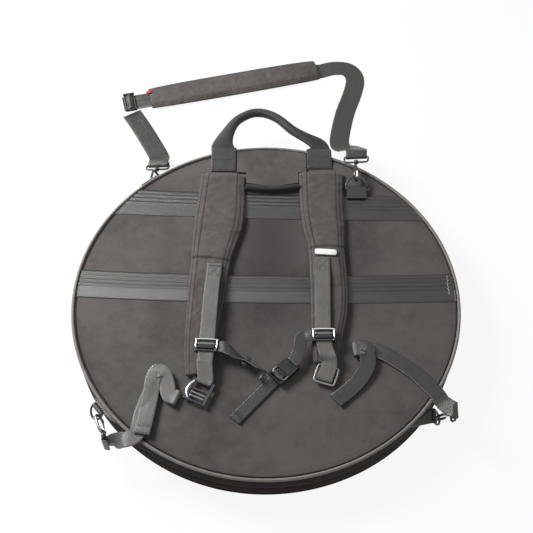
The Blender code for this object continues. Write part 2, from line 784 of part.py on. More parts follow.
def rounded(corners, radius, steps):
    """The outline with each corner turned into a few points of an arc."""
    points = []
    for k, corner in enumerate(corners):
        here = Vector(corner)
        before = (Vector(corners[k - 1]) - here).normalized() * radius
        after = (Vector(corners[(k + 1) % len(corners)]) - here).normalized() * radius
        for step in range(steps):
            t = step / (steps - 1)
            points.append(here + before * (1 - t) ** 2 + after * t ** 2)
    return points


def make_harness(looks):
    lock_frame = make_ladder_lock(looks)
    ring_frame = make_bottom_ring(looks)
    loop_reach = BOTTOM_RING_LENGTH * BOTTOM_LOOP_SHARE
    long_loop = ring_frame @ Matrix.Translation((0, -loop_reach, 0))
    pieces = [
        make_pad("left", PAD_LEFT_SHARES, looks),
        make_pad("right", PAD_RIGHT_SHARES, looks),
        make_pad_webbing(
            "left", WEB_LEFT_SHARES, lock_frame, LOCK_BAR * BAR_RADIUS_SHARE, LOCK_BAR * 2, LOCK_BAR * 1.7, looks
        ),
        make_pad_webbing(
            "right", WEB_RIGHT_SHARES, long_loop, RING_WIRE_RADIUS, loop_reach + RING_WIRE_RADIUS,
            loop_reach + RING_WIRE_RADIUS, looks,
        ),
    ]
    hang(pivot("harness_axis", Vector((0, HARNESS_AXIS_SHARE * BAG_RADIUS, ON_BANDS)), -RIGHT), *pieces)


# The chest strap

CHEST_SLIDE_SHARES = (("left", -0.2935, -0.330, -3.0), ("right", 0.2864, -0.272, 0.5))
BUCKLE_PLACE_SHARES = (0.082, -0.455)
BUCKLE_TURN = 43.0
CHEST_LEFT_SHARES = (
    (-0.2360, -0.3345, 1.00, (0.0, -1.0, 0.0)),
    (-0.2000, -0.3410, 0.97, (0.0, -1.0, 0.0)),
    (-0.1500, -0.372, 0.60, (0.3, -0.8, 0.3)),
    (-0.0950, -0.410, 0.58, (0.3, -0.5, 0.7)),
    (-0.0500, -0.455, 0.68, (0.5, -0.5, 0.4)),
    (-0.0150, -0.490, 0.68, (0.8, -0.5, 0.0)),
)
CHEST_RIGHT_SHARES = (
    (0.2210, -0.272, 1.00, (0.0, 1.0, 0.0)),
    (0.2000, -0.268, 0.97, (0.1, 1.0, 0.0)),
    (0.1740, -0.290, 0.90, (-0.5, 0.8, 0.2)),
    (0.1690, -0.322, 0.75, (-0.7, 0.6, 0.1)),
)
SLOT_PATH_SHARES = ((1.12, 1.33), (0.96, 1.33), (0.89, 1.20), (0.86, 0.90), (0.86, -0.90), (0.89, -1.20),
                    (0.96, -1.33), (1.10, -1.33))
PLUG_PATH_SHARES = ((-0.28, -0.35), (-0.33, 0.70), (-0.42, 1.10), (-0.58, 1.10), (-0.68, 0.55), (-0.74, -0.60),
                    (-0.88, -1.12), (-1.12, -1.15))
TAIL_SHARES = ((-0.030, -0.571), (-0.066, -0.609), (-0.110, -0.657), (-0.151, -0.703))


def slide_frame(share_x, share_y, turn):
    height = ON_BANDS + PAD_THICKNESS + GAP + WEB_THICKNESS / 2 + WEB_LIFT
    return level_frame(place(share_x, share_y, height), turn)


def make_chest_slider(side, share_x, share_y, turn, looks):
    """A slider whose middle bar runs under the pad's webbing and whose end bars run over it."""
    frame = slide_frame(share_x, share_y, turn)
    width = HARNESS_WEB_WIDTH + RUNNING_GAP * 8 + SLIDE_RAIL * 2
    clear = WEB_THICKNESS / 2 + RUNNING_GAP
    bar = SLIDE_BAR
    top = clear + bar + GAP
    rails = [
        moved(
            box(Vector((sign * (width - SLIDE_RAIL) / 2, 0, 0)), (SLIDE_RAIL, SLIDE_LENGTH, top * 2)), frame
        )
        for sign in (-1, 1)
    ]
    obj = add_object(f"chest_slider_{side}", rails[0], looks["dark_metal"])
    reach = width - SLIDE_RAIL
    end = SLIDE_LENGTH / 2 - bar / 2 - GAP
    bars = [
        moved(box(Vector((0, y, z)), (reach, bar, bar)), frame)
        for y, z in ((end, clear + bar / 2), (-end, clear + bar / 2), (0, -clear - bar / 2))
    ]
    combine(obj, [*bars, rails[1]], "UNION")
    return obj


def buckle_frame():
    """Local +Y along the buckle from plug to socket, at the joint between them."""
    height = ON_PANEL + WEB_THICKNESS + BUCKLE_HEIGHT / 2 + GAP * 3
    return level_frame(place(*BUCKLE_PLACE_SHARES, height), BUCKLE_TURN - 90)


def threaded(frame, length, shares):
    """Points through a buckle, by shares of its length and of half its height."""
    return [frame @ Vector((0, y * length, z * BUCKLE_HEIGHT / 2)) for y, z in shares]


def make_chest_webbing(looks):
    frame = buckle_frame()
    rise = WEB_LIFT + PAD_THICKNESS + ON_BANDS - ON_PANEL
    low = ON_PANEL + WEB_THICKNESS
    left = strap(
        [place(x, y, low + share * rise) for x, y, share, _ in CHEST_LEFT_SHARES], STERNUM_WEB_WIDTH,
        [Vector(side) for _, _, _, side in CHEST_LEFT_SHARES], steps=3,
    )
    steps = 3
    across = frame.to_3x3() @ -RIGHT
    slot = threaded(frame, BUCKLE_SOCKET_LENGTH, SLOT_PATH_SHARES)
    run = smooth([place(x, y, low + share * rise) for x, y, share, _ in CHEST_RIGHT_SHARES] + slot[:1], steps)
    sides = smooth([Vector(side) for _, _, _, side in CHEST_RIGHT_SHARES] + [across], steps)
    right = along(
        run + slot[1:], STERNUM_WEB_WIDTH, WEB_THICKNESS, FLAT_SHARES, sides + [across] * (len(slot) - 1)
    )
    return [
        add_object("chest_strap_left", left, looks["webbing"]),
        add_object("chest_strap_right", right, looks["webbing"]),
    ]


def make_tail(looks):
    frame = buckle_frame()
    plug = threaded(frame, BUCKLE_PLUG_LENGTH, PLUG_PATH_SHARES)
    height = ON_PANEL + WEB_THICKNESS
    free = smooth([plug[-1], *[place(x, y, height) for x, y in TAIL_SHARES]], 2)
    path = plug[:-1] + free
    across = frame.to_3x3() @ RIGHT
    body = along(path, STERNUM_WEB_WIDTH, WEB_THICKNESS, FLAT_SHARES, [across] * len(path))
    return add_object("chest_strap_tail", body, looks["webbing"])


def buckle_outline(width, start, end, waist):
    half = width / 2
    middle = (start + end) / 2
    return ((-half, start), (half, start), (half, middle), (half - waist, end), (waist - half, end), (-half, middle))


WINDOW_PLACE_SHARE = 0.6
SLOT_PLACE_SHARE = 0.86


def make_socket(looks):
    frame = buckle_frame()
    thick = BUCKLE_HEIGHT / 2
    shell = moved(prism(buckle_outline(BUCKLE_WIDTH, 0, BUCKLE_SOCKET_LENGTH, BUCKLE_WALL), -thick, thick), frame)
    socket = add_object("buckle_socket", shell, looks["black_plastic"])
    inner = BUCKLE_WIDTH - BUCKLE_WALL * 2
    depth = BUCKLE_PRONG_LENGTH + BUCKLE_WALL / 2
    cavity = box(
        Vector((0, (depth - OVERRUN) / 2, 0)), (inner, depth + OVERRUN, BUCKLE_HEIGHT - BUCKLE_WALL * 2)
    )
    window = box(
        Vector((0, BUCKLE_PRONG_LENGTH * WINDOW_PLACE_SHARE, 0)),
        (BUCKLE_WIDTH + OVERRUN * 2, BUCKLE_PRONG_LENGTH / 2, BUCKLE_HEIGHT - BUCKLE_WALL * 3),
    )
    slot = box(
        Vector((0, BUCKLE_SOCKET_LENGTH * SLOT_PLACE_SHARE, 0)),
        (STERNUM_WEB_WIDTH + THREAD_GAP * 2, WEB_THICKNESS + THREAD_GAP * 2, BUCKLE_HEIGHT + OVERRUN),
    )
    combine(socket, [moved(shape, frame) for shape in (cavity, window, slot)], "DIFFERENCE")
    return socket


def make_plug(looks):
    frame = buckle_frame()
    thick = BUCKLE_HEIGHT / 2 - BUCKLE_WALL / 2
    length = BUCKLE_PLUG_LENGTH
    plate = moved(prism(buckle_outline(BUCKLE_WIDTH, -length, -GAP, 0), -thick, thick), frame)
    plug = add_object("buckle_plug", plate, looks["black_plastic"])
    bar = BUCKLE_WALL
    slot_length = (length - bar * 3.4) / 2
    slots = [
        moved(
            box(Vector((0, y, 0)), (STERNUM_WEB_WIDTH + THREAD_GAP * 2, slot_length, BUCKLE_HEIGHT + OVERRUN)), frame
        )
        for y in (bar + slot_length / 2 - length, bar * 2 + slot_length * 1.5 - length)
    ]
    combine(plug, slots, "DIFFERENCE")
    inner = BUCKLE_WIDTH - BUCKLE_WALL * 2 - THREAD_GAP * 2
    prong = BUCKLE_WALL * 1.6
    reach = BUCKLE_PRONG_LENGTH
    height = BUCKLE_HEIGHT - BUCKLE_WALL * 2.6
    prongs = [
        moved(box(Vector((x, (reach - OVERRUN) / 2, 0)), (width, reach + OVERRUN, height)), frame)
        for x, width in (((inner - prong) / 2, prong), ((prong - inner) / 2, prong), (0, prong * 1.4))
    ]
    combine(plug, prongs, "UNION")
    return plug


def make_chest_strap(looks):
    pieces = [make_chest_slider(*values, looks) for values in CHEST_SLIDE_SHARES]
    pieces += make_chest_webbing(looks)
    pieces.append(make_socket(looks))
    hang(pivot("chest_slide_axis", place(0, CHEST_SLIDE_SHARES[0][2], ON_PANEL), AWAY), *pieces)
    frame = buckle_frame()
    hang(pivot("buckle_axis", frame.translation, frame.to_3x3() @ -AWAY), make_plug(looks), make_tail(looks))


# Rings, hooks and their tabs

BOW_SHARE = 0.8


def bow_point(width, depth, degrees):
    """A point on a D ring's bow, in the frame whose origin is the middle of the straight bar."""
    angle = math.radians(degrees)
    half = width / 2 - RING_WIRE_RADIUS
    return Vector((half * math.cos(angle), depth * abs(math.sin(angle)) ** BOW_SHARE, 0))


def make_d_ring(name, frame, width, depth, looks):
    """A wire D in its frame's level plane, +Y towards the bow."""
    path = [frame @ bow_point(width, depth, 180 * k / 8) for k in range(9)]
    ring = add_object(name, wire(path, RING_WIRE_RADIUS, frame.to_3x3() @ UP, closed=True), looks["dark_metal"])
    hang(pivot(f"{name}_axis", frame.translation, frame.to_3x3() @ RIGHT), ring)
    return ring


def ring_touch(frame, width, depth, degrees):
    """Where a hook touches a ring's bow, and the way its wire runs there."""
    step = 1
    way = bow_point(width, depth, degrees + step) - bow_point(width, depth, degrees - step)
    return frame @ bow_point(width, depth, degrees), (frame.to_3x3() @ way).normalized()


def clip(touch, wire_way, aim, roll):
    """The frame of a hook that holds the wire in its nose: origin at the swivel, +Y to the nose."""
    aim = aim.normalized()
    normal = Matrix.Rotation(math.radians(roll), 3, aim) @ (wire_way - aim * wire_way.dot(aim)).normalized()
    return facing(touch - aim * HOOK_POINT, aim, normal)


SHOULDER_SHARE = 0.94
HOOK_SHANK_SHARE = 1.6
HOOK_BACK_SHARES = ((0, 0), (0, 0.15), (-0.4, 0.6), (-0.9, 1.2), (-1, 2.1))
HOOK_TIP_SHARE = 0.4
SHOULDER_PLACE_SHARE = 0.95
SHOULDER_END_SHARES = (-0.66, 0.95)
GATE_FOOT_SHARE = 0.72


def make_hook(name, frame, looks):
    """The cast hook and its sprung gate."""
    bend = HOOK_BEND_RADIUS
    back = [(0, -SWIVEL_BAR * HOOK_SHANK_SHARE)] + [(x * bend, y * bend) for x, y in HOOK_BACK_SHARES]
    tip = HOOK_REACH - bend * HOOK_TIP_SHARE
    arc = [
        (-bend * math.cos(math.radians(a)), HOOK_REACH + bend * math.sin(math.radians(a))) for a in range(0, 181, 30)
    ]
    path = [frame @ Vector((x, y, 0)) for x, y in [*back, *arc, (bend, tip)]]
    normal = frame.to_3x3() @ UP
    radii = [HOOK_PIN_RADIUS] * 3 + [HOOK_WIRE_RADIUS] * (len(path) - 4) + [HOOK_PIN_RADIUS]
    sides = [forward.cross(normal) for forward in directions(path)]
    thick = [radius * 2 for radius in radii]
    hook = add_object(f"{name}_hook", along(path, thick, thick, round_shares(8), sides), looks["cast_metal"])
    shoulder_y = bend * SHOULDER_PLACE_SHARE
    shoulder = wire(
        [frame @ Vector((bend * share, shoulder_y, 0)) for share in SHOULDER_END_SHARES],
        HOOK_WIRE_RADIUS * SHOULDER_SHARE, normal, count=10,
    )
    combine(hook, [shoulder], "UNION")
    hang(pivot(f"{name}_hook_axis", frame.translation, frame.to_3x3() @ AWAY), hook)

    gate_low = frame @ Vector((bend * GATE_FOOT_SHARE, shoulder_y + HOOK_WIRE_RADIUS + GAP * 2, 0))
    gate_high = frame @ Vector((bend, tip - GAP * 3, 0))
    gate = add_object(f"{name}_gate", wire([gate_low, gate_high], GATE_RADIUS, normal), looks["bright_metal"])
    hang(pivot(f"{name}_gate_axis", gate_low, normal), gate)


NECK_SHARE = 0.94


def make_base(name, frame, web_width, looks):
    """The swivel's base: a loop for webbing, and a boss with a bore for the hook's shank."""
    bar = SWIVEL_BAR
    outer = web_width + THREAD_GAP * 4 + bar
    depth = SWIVEL_WINDOW + bar
    normal = frame.to_3x3() @ UP
    far = outer / 2
    near = far * NECK_SHARE
    corners = ((-far, -depth - bar / 2), (far, -depth - bar / 2), (near, -bar / 2), (-near, -bar / 2))
    loop = [frame @ Vector((x, y, 0)) for x, y in rounded(corners, bar / 2, 2)]
    base = add_object(f"{name}_base", wire(loop, bar / 2, normal, closed=True), looks["black_plastic"])
    boss = wire(
        [frame @ Vector((0, -bar * 1.2, 0)), frame @ Vector((0, 0, 0))], HOOK_PIN_RADIUS + bar * 0.6, normal, count=10
    )
    bore = wire(
        [frame @ Vector((0, -bar * 2, 0)), frame @ Vector((0, bar, 0))], HOOK_PIN_RADIUS + RUNNING_GAP, normal, count=8
    )
    combine(base, [boss], "UNION")
    combine(base, [bore], "DIFFERENCE")
    return base


def loop_round_bar(frame, width, length, end_level):
    """Webbing folded round a ring's bar at the frame's origin, its layers meeting behind it, +Y to the bow."""
    bar = RING_WIRE_RADIUS + RUNNING_GAP
    outer = bar + WEB_THICKNESS
    arc = [(outer * math.sin(math.radians(a)), outer * math.cos(math.radians(a))) for a in range(-20, 201, 22)]
    outline = [(-length, end_level + WEB_THICKNESS), *arc, (-length, end_level - WEB_THICKNESS)]
    body = skin([[frame @ Vector((x, y, z)) for y, z in outline] for x in (-width / 2, width / 2)])
    hole = wire(
        [frame @ Vector((sign * (width / 2 + OVERRUN), 0, 0)) for sign in (-1, 1)], bar, frame.to_3x3() @ UP, count=8
    )
    return body, hole, outer


def make_tab(name, frame, width, length, looks):
    body, hole, _ = loop_round_bar(frame, width, length, 0)
    tab = add_object(name, body, looks["webbing"])
    combine(tab, [hole], "DIFFERENCE")
    return tab


TOP_RIGHT_TAB_SHARES = (0.504, 0.684)
TOP_RIGHT_TILT = 22.0
TOP_RIGHT_AIM_SHARES = (0.08, -1.0, 0.0)
TOP_RIGHT_ROLL = 20.0
TOP_LEFT_ANGLE = 130.5
TOP_LEFT_BAR_LEVEL_SHARE = 1.19
TOP_LEFT_WAY_SHARES = (0.80, -0.60)
TOP_LEFT_TOUCH_ANGLE = 42.0
TOP_LEFT_AIM_SHARES = (0.30, -0.91, 0.24)
TOP_LEFT_ROLL = 10.0
SWING_PASSES = 4


def make_top_right_ring(looks):
    """The ring at the right of the yoke, lying nearly flat."""
    height = ON_BANDS + RING_WIRE_RADIUS + RUNNING_GAP + WEB_THICKNESS
    bar_place = place(*TOP_RIGHT_TAB_SHARES, height)
    tab_frame = facing(bar_place, AWAY, UP)
    width = TAB_WIDTH - RING_WIRE_RADIUS * 2
    body, hole, _ = loop_round_bar(tab_frame, width, TAB_LENGTH, ON_BANDS + WEB_THICKNESS - height)
    tab = add_object("ring_tab_right", body, looks["webbing"])
    combine(tab, [hole], "DIFFERENCE")
    ring_frame = tab_frame @ Matrix.Rotation(math.radians(TOP_RIGHT_TILT), 4, "X")
    make_d_ring("d_ring_top_right", ring_frame, TOP_RING_WIDTH, TOP_RING_DEPTH, looks)
    touch, way = ring_touch(ring_frame, TOP_RING_WIDTH, TOP_RING_DEPTH, 90)
    return tab, (touch + ring_frame.to_3x3() @ UP * RING_PLAY, way)


def make_top_left_ring(looks):
    """The ring behind the rim, hanging from a tab on the wall."""
    outward = polar(1, TOP_LEFT_ANGLE, 0)
    depth = TOP_RING_DEPTH * 0.8
    bar_place = polar(
        BAG_RADIUS + WALL_BULGE + GAP + WEB_THICKNESS + RUNNING_GAP + RING_WIRE_RADIUS, TOP_LEFT_ANGLE,
        HIGH_WALL_BOTTOM * TOP_LEFT_BAR_LEVEL_SHARE,
    )
    tab = make_tab(
        "ring_tab_left", facing(bar_place, -UP, outward), TAB_WIDTH - RING_WIRE_RADIUS * 2, TAB_LENGTH * 0.75, looks
    )
    out, down = TOP_LEFT_WAY_SHARES
    ring_frame = facing(bar_place, outward * out + UP * down, outward)
    make_d_ring("d_ring_top_left", ring_frame, TOP_RING_WIDTH, depth, looks)
    return tab, ring_touch(ring_frame, TOP_RING_WIDTH, depth, TOP_LEFT_TOUCH_ANGLE)


def level_aims(right_touch, left_touch):
    """Aims for the two upper hooks that set both their webbing bars on one line, the strap's axis."""
    reach = HOOK_POINT + BASE_BAR
    aims = [Vector(TOP_RIGHT_AIM_SHARES).normalized(), Vector(TOP_LEFT_AIM_SHARES).normalized()]
    for _ in range(SWING_PASSES):
        bars = [touch - aim * reach for touch, aim in zip((right_touch, left_touch), aims)]
        axis = (bars[0] - bars[1]).normalized()
        aims = [(aim - axis * aim.dot(axis)).normalized() for aim in aims]
    return aims, axis, bars


def make_upper_hooks(looks):
    right_tab, (right_touch, right_way) = make_top_right_ring(looks)
    left_tab, (left_touch, left_way) = make_top_left_ring(looks)
    aims, axis, bars = level_aims(right_touch, left_touch)
    made = [right_tab, left_tab]
    base_frames = []
    for name, touch, way, aim, roll in (
        ("top_right", right_touch, right_way, aims[0], TOP_RIGHT_ROLL),
        ("top_left", left_touch, left_way, aims[1], TOP_LEFT_ROLL),
    ):
        frame = clip(touch, way, aim, roll)
        make_hook(name, frame, looks)
        base_frames.append(facing(frame.translation, aim, aim.cross(axis)))
        made.append(make_base(name, base_frames[-1], SHOULDER_WEB_WIDTH, looks))
    return made, base_frames, axis, bars


# The wings and hooks at the foot end of the rim

LOW_GROUPS = {
    "left": {
        "rim_angles": (214.4, 225.1), "bar_angle": 218.0, "radius_share": 1.0266, "level_share": 0.871,
        "way_shares": (-0.54, -0.44, -0.72), "touch_angle": 150.0, "aim_shares": (-0.34, 0.93, -0.20), "roll": 12.0, "fade_steps": 1,
        "normal_shares": (1, 0.37, 0),
    },
    "right": {
        "rim_angles": (313.3, 322.5), "bar_angle": 321.5, "radius_share": 1.0410, "level_share": 0.630,
        "way_shares": (0.60, 0.0, -0.80), "touch_angle": 100.0, "aim_shares": (-0.36, 0.12, -0.925), "roll": 0.0, "fade_steps": 2,
        "normal_shares": (1, 0, -0.3),
    },
}
WING_WIDTH_SHARE = 0.92


def make_wing(side, group, looks):
    """A webbing wing that comes out of the back seam and is folded round a ring's bar."""
    bar_place = polar(group["radius_share"] * BAG_RADIUS, group["bar_angle"], group["level_share"] * BACK_TOP)
    way = Vector(group["way_shares"])
    out = Vector((way.x, way.y, 0)).normalized()
    tab_frame = facing(bar_place, out, UP)
    width = LOW_RING_WIDTH - RING_WIRE_RADIUS * 4
    body, hole, outer = loop_round_bar(tab_frame, width, RING_WIRE_RADIUS * 2, 0)
    wing = add_object(f"ring_wing_{side}", body, looks["webbing"])
    start, end = group["rim_angles"]
    level = GUSSET_TOP - WEB_THICKNESS * 1.6
    rim = BAG_RADIUS + WALL_BULGE / 2
    left_end = polar(rim, start, level)
    right_end = polar(rim, end, level)
    middle = polar(rim, (start + end) / 2, level)
    shift = polar(1, (start + end) / 2, 0) * ((middle - left_end).dot(polar(1, (start + end) / 2, 0)) + GAP)
    rim_centre = (left_end + right_end) / 2 + shift
    half_way = (right_end - left_end) / 2 * WING_WIDTH_SHARE
    bar_way = tab_frame.to_3x3() @ RIGHT
    if bar_way.dot(half_way) < 0:
        bar_way = -bar_way
    thick = UP * WEB_THICKNESS
    bar_side = bar_place - out * outer / 2
    bar_half = bar_way * width / 2
    plate = skin([
        [centre - half - thick, centre + half - thick, centre + half + thick, centre - half + thick]
        for centre, half in ((rim_centre, half_way), (bar_side, bar_half))
    ])
    combine(wing, [plate], "UNION")
    combine(wing, [hole], "DIFFERENCE")
    ring_frame = facing(bar_place, way, out + UP * 0.2)
    make_d_ring(f"d_ring_low_{side}", ring_frame, LOW_RING_WIDTH, LOW_RING_DEPTH, looks)
    touch, wire_way = ring_touch(ring_frame, LOW_RING_WIDTH, LOW_RING_DEPTH, group["touch_angle"])
    aim = Vector(group["aim_shares"]).normalized()
    frame = clip(touch, wire_way, aim, group["roll"])
    make_hook(f"low_{side}", frame, looks)
    base_frame = facing(frame.translation, aim, Vector(group["normal_shares"]))
    return [wing, make_base(f"low_{side}", base_frame, HARNESS_WEB_WIDTH, looks)], base_frame


# The webbing that the bases hold

def bar_frame(base_frame, lift):
    """The base's webbing bar: +Y away from the hook, raised by the lift in degrees."""
    turned = Matrix.Rotation(math.pi, 4, "Z") @ Matrix.Rotation(math.radians(lift), 4, "X")
    return base_frame @ Matrix.Translation((0, -BASE_BAR, 0)) @ turned


def webbing_from_bar(frame, reach, run, steps, fade):
    """A path that starts under a bar, goes round it and on along the run, and its sides."""
    radius = SWIVEL_BAR / 2 + RUNNING_GAP * 2 + WEB_THICKNESS / 2
    loop = hairpin(frame, radius, reach)[::-1]
    lead = frame @ Vector((0, reach, radius))
    onward = smooth([loop[-1], lead, *run], steps)
    level = [forward.cross(UP).normalized() for forward in directions(onward)]
    bar_way = frame.to_3x3() @ RIGHT
    if bar_way.dot(level[fade]) < 0:
        bar_way = -bar_way
    onward_sides = [bar_way.lerp(side, min(1, max(0, (k - steps) / fade))) for k, side in enumerate(level)]
    return loop[:-1] + onward, [bar_way] * (len(loop) - 1) + onward_sides


LOW_LEFT_SHARES = (
    (-0.665, -0.805, 2.0), (-0.619, -0.789, 2.4), (-0.601, -0.750, 1.4), (-0.592, -0.672, 0.6),
    (-0.560, -0.556, 0.6), (-0.540, -0.484, 1.6), (-0.515, -0.458, 3.0), (-0.493, -0.478, 2.6),
    (-0.487, -0.520, 1.4), (-0.465, -0.575, 1.0), (-0.430, -0.594, 1.0),
)
LOW_LEFT_TAIL_SHARES = (
    (-0.482, -0.515, 4.6), (-0.499, -0.470, 5.6), (-0.528, -0.455, 6.2), (-0.548, -0.500, 5.2),
    (-0.556, -0.590, 3.8), (-0.569, -0.690, 3.5), (-0.583, -0.781, 4.2),
)
LOW_RIGHT_SHARES = (
    (0.848, -0.612, 1.8), (0.820, -0.560, 1.6), (0.734, -0.459, 1.2), (0.656, -0.395, 1.6), (0.570, -0.340, 1.8),
    (0.500, -0.325, 1.0), (0.440, -0.330, 0.6),
)
LOW_RIGHT_TAIL_SHARES = (
    (0.500, -0.352, 4.6), (0.497, -0.420, 3.5), (0.440, -0.510, 1.6), (0.333, -0.605, 1.0),
)
LOW_LIFT_ANGLES = {"left": 62.0, "right": -100.0}


def make_low_strap(side, group, base_frame, shares, tail_shares, looks):
    """Webbing from the swivel base over the rim to the pad's end, folded there, and back as a loose tail."""
    level = ON_PANEL + WEB_THICKNESS / 2 + GAP
    run = [place(x, y, level + share * WEB_THICKNESS) for x, y, share in shares]
    back = [place(x, y, level + share * WEB_THICKNESS) for x, y, share in tail_shares]
    steps = 3
    path, sides = webbing_from_bar(
        bar_frame(base_frame, LOW_LIFT_ANGLES[side]), LOW_REACH, run, steps, steps * group["fade_steps"]
    )
    rise = UP * (back[0].z - path[-1].z)
    tail = smooth([path[-1] + rise, path[-1 - steps] + rise, *back], steps)
    tail_sides = [-forward.cross(UP) for forward in directions(tail)]
    sign = 1 if sides[-1].dot(tail_sides[0]) > 0 else -1
    tip = path[-1] + rise / 2 + (path[-1] - path[-2]).normalized() * rise.z / 2
    whole = path + [tip] + tail
    across = sides + [sides[-1]] + [side_way * sign for side_way in tail_sides]
    body = along(whole, HARNESS_WEB_WIDTH, WEB_THICKNESS, FLAT_SHARES, across)
    return add_object(f"lower_strap_{side}", body, looks["webbing"])


# The shoulder strap

SHOULDER_LONG_SHARES = (
    (0.497, 1.000, 0.95), (0.465, 1.075, 0.50), (0.448, 1.150, 0.14), (0.450, 1.240, 0.0), (0.490, 1.430, 0.0),
    (0.545, 1.600, 0.0), (0.570, 1.730, 0.0), (0.530, 1.815, 0.0), (0.440, 1.830, 0.0), (0.340, 1.800, 0.0),
)
SHOULDER_PAD_TURN = 13.5
SHOULDER_PAD_PLACE_SHARES = (-0.200, 1.680)
SHOULDER_SHORT_SHARES = (
    (-0.640, 1.075, 0.06), (-0.690, 1.180, 0.0), (-0.760, 1.310, 0.0), (-0.834, 1.435, 0.0),
)
GLIDE_LENGTH_SHARE = 7
PAD_STATION_SHARES = (-1, -0.97, -0.6, 0, 0.6, 0.97, 1)
PAD_WIDTH_SHARES = (0.82, 0.93, 1.0, 1.02, 1.0, 0.93, 0.80)
PAD_HEIGHT_SHARES = (0.5, 0.8, 1, 1, 1, 0.8, 0.5)
UNDER_PAD_SHARES = (0.95, 0.3, -0.3, -0.95)


def make_shoulder_strap(right_base, left_base, axis, bars, looks):
    floor = GAP + WEB_THICKNESS / 2
    drop = BACK_TOP - floor
    pad_frame = level_frame(place(*SHOULDER_PAD_PLACE_SHARES, floor), SHOULDER_PAD_TURN)
    half = SHOULDER_PAD_LENGTH / 2
    rail_half = LOCK_BAR * RAIL_HEIGHT_SHARE / 2
    lift = WEB_THICKNESS / 2 + GAP + rail_half
    glide_centre = pad_frame @ Vector((-half - GLIDE_DISTANCE, 0, lift))
    glide_height = floor + lift
    glide_frame = level_frame(glide_centre, SHOULDER_PAD_TURN - 90)
    run = [place(x, y, floor + share * drop) for x, y, share in SHOULDER_LONG_SHARES]
    run += [pad_frame @ Vector((share * half, 0, 0)) for share in UNDER_PAD_SHARES]
    bar = LOCK_BAR * BAR_RADIUS_SHARE
    over = bar + RUNNING_GAP + WEB_THICKNESS / 2
    length = LOCK_BAR * GLIDE_LENGTH_SHARE
    span = (length - LOCK_BAR) / 2
    run += [
        glide_frame @ Vector((0, span * along_share, over if raised else floor - glide_height))
        for along_share, raised in ((1.5, 0), (1, 0), (0.12, 1), (-0.12, 1), (-1, 0), (-1.45, 0))
    ]
    steps = 3
    path, sides = webbing_from_bar(bar_frame(right_base, 0), LOOP_REACH, run, steps, steps * 2)
    long_web = add_object(
        "shoulder_webbing_long", along(path, SHOULDER_WEB_WIDTH, WEB_THICKNESS, FLAT_SHARES, sides), looks["webbing"]
    )
    run = [place(x, y, floor + share * drop) for x, y, share in SHOULDER_SHORT_SHARES]
    path, sides = webbing_from_bar(bar_frame(left_base, 0), LOOP_REACH, run, steps, steps)
    short_web = add_object(
        "shoulder_webbing_short", along(path, SHOULDER_WEB_WIDTH, WEB_THICKNESS, FLAT_SHARES, sides), looks["webbing"]
    )
    width = SHOULDER_WEB_WIDTH + LOCK_BAR * 2 + RUNNING_GAP * 4
    glide = ladder("tri_glide", glide_frame, width, length, LOCK_BAR, (1, 0, -1), looks["dark_metal"])
    hang(pivot("shoulder_axis", (bars[0] + bars[1]) / 2, axis), long_web, short_web, glide)

    pad_low = WEB_THICKNESS / 2 + GAP
    widths = [share * SHOULDER_PAD_WIDTH for share in PAD_WIDTH_SHARES]
    heights = [share * SHOULDER_PAD_THICKNESS for share in PAD_HEIGHT_SHARES]
    path = [pad_frame @ Vector((share * half, 0, pad_low)) for share in PAD_STATION_SHARES]
    pad = add_object("shoulder_pad", along(path, widths, heights, PAD_SHARES), looks["pad_fabric"])
    hang(pivot("shoulder_pad_axis", pad_frame.translation, pad_frame.to_3x3() @ RIGHT), pad)


def make_looks():
    return {
        "shell_fabric": look("Shell fabric", (0.118, 0.107, 0.098), 0.85),
        "pad_fabric": look("Pad fabric", (0.125, 0.113, 0.106), 0.85),
        "roll_fabric": look("Roll fabric", (0.060, 0.062, 0.060), 0.6),
        "divider_fabric": look("Divider fabric", (0.050, 0.050, 0.052), 0.9),
        "piping": look("Piping", (0.130, 0.120, 0.112), 0.7),
        "zip_tape": look("Zip tape", (0.020, 0.020, 0.021), 0.7),
        "zip_metal": look("Zip metal", (0.25, 0.25, 0.25), 0.35, 1.0),
        "webbing": look("Webbing", (0.105, 0.110, 0.105), 0.5),
        "handle_webbing": look("Handle webbing", (0.085, 0.087, 0.083), 0.6),
        "black_plastic": look("Black plastic", (0.012, 0.012, 0.013), 0.35),
        "dark_metal": look("Dark metal", (0.10, 0.10, 0.10), 0.35, 1.0),
        "cast_metal": look("Cast metal", (0.36, 0.36, 0.36), 0.4, 1.0),
        "bright_metal": look("Bright metal", (0.66, 0.66, 0.66), 0.25, 1.0),
    }


def main():
    clear_scene()
    looks = make_looks()
    lid = make_shell(looks)
    make_divider(looks)
    for side, degrees in zip(("left", "right"), SLIDER_ANGLES):
        make_slider(side, degrees, looks)
    lid += make_bands(looks)
    lid += make_yoke(looks)
    outsides = []
    for side, share_x, share_y in ANCHOR_PLACES:
        anchor, reach = make_anchor(side, share_x, share_y, looks)
        outsides.append(reach)
        lid.append(anchor)
    make_handle(outsides, looks)
    make_harness(looks)
    make_chest_strap(looks)
    held, base_frames, axis, bars = make_upper_hooks(looks)
    lid += held
    make_shoulder_strap(*base_frames, axis, bars, looks)
    for side, shares, tail in (
        ("left", LOW_LEFT_SHARES, LOW_LEFT_TAIL_SHARES), ("right", LOW_RIGHT_SHARES, LOW_RIGHT_TAIL_SHARES),
    ):
        pieces, base_frame = make_wing(side, LOW_GROUPS[side], looks)
        lid += [*pieces, make_low_strap(side, LOW_GROUPS[side], base_frame, shares, tail, looks)]
    hang(pivot("lid_axis", Vector((0, -FOLD_DISTANCE, PIPING_TOP + GAP)), RIGHT), *lid)


main()
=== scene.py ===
# Cymbal bag with a backpack harness: cloth, webbing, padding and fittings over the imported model.
import json
import math

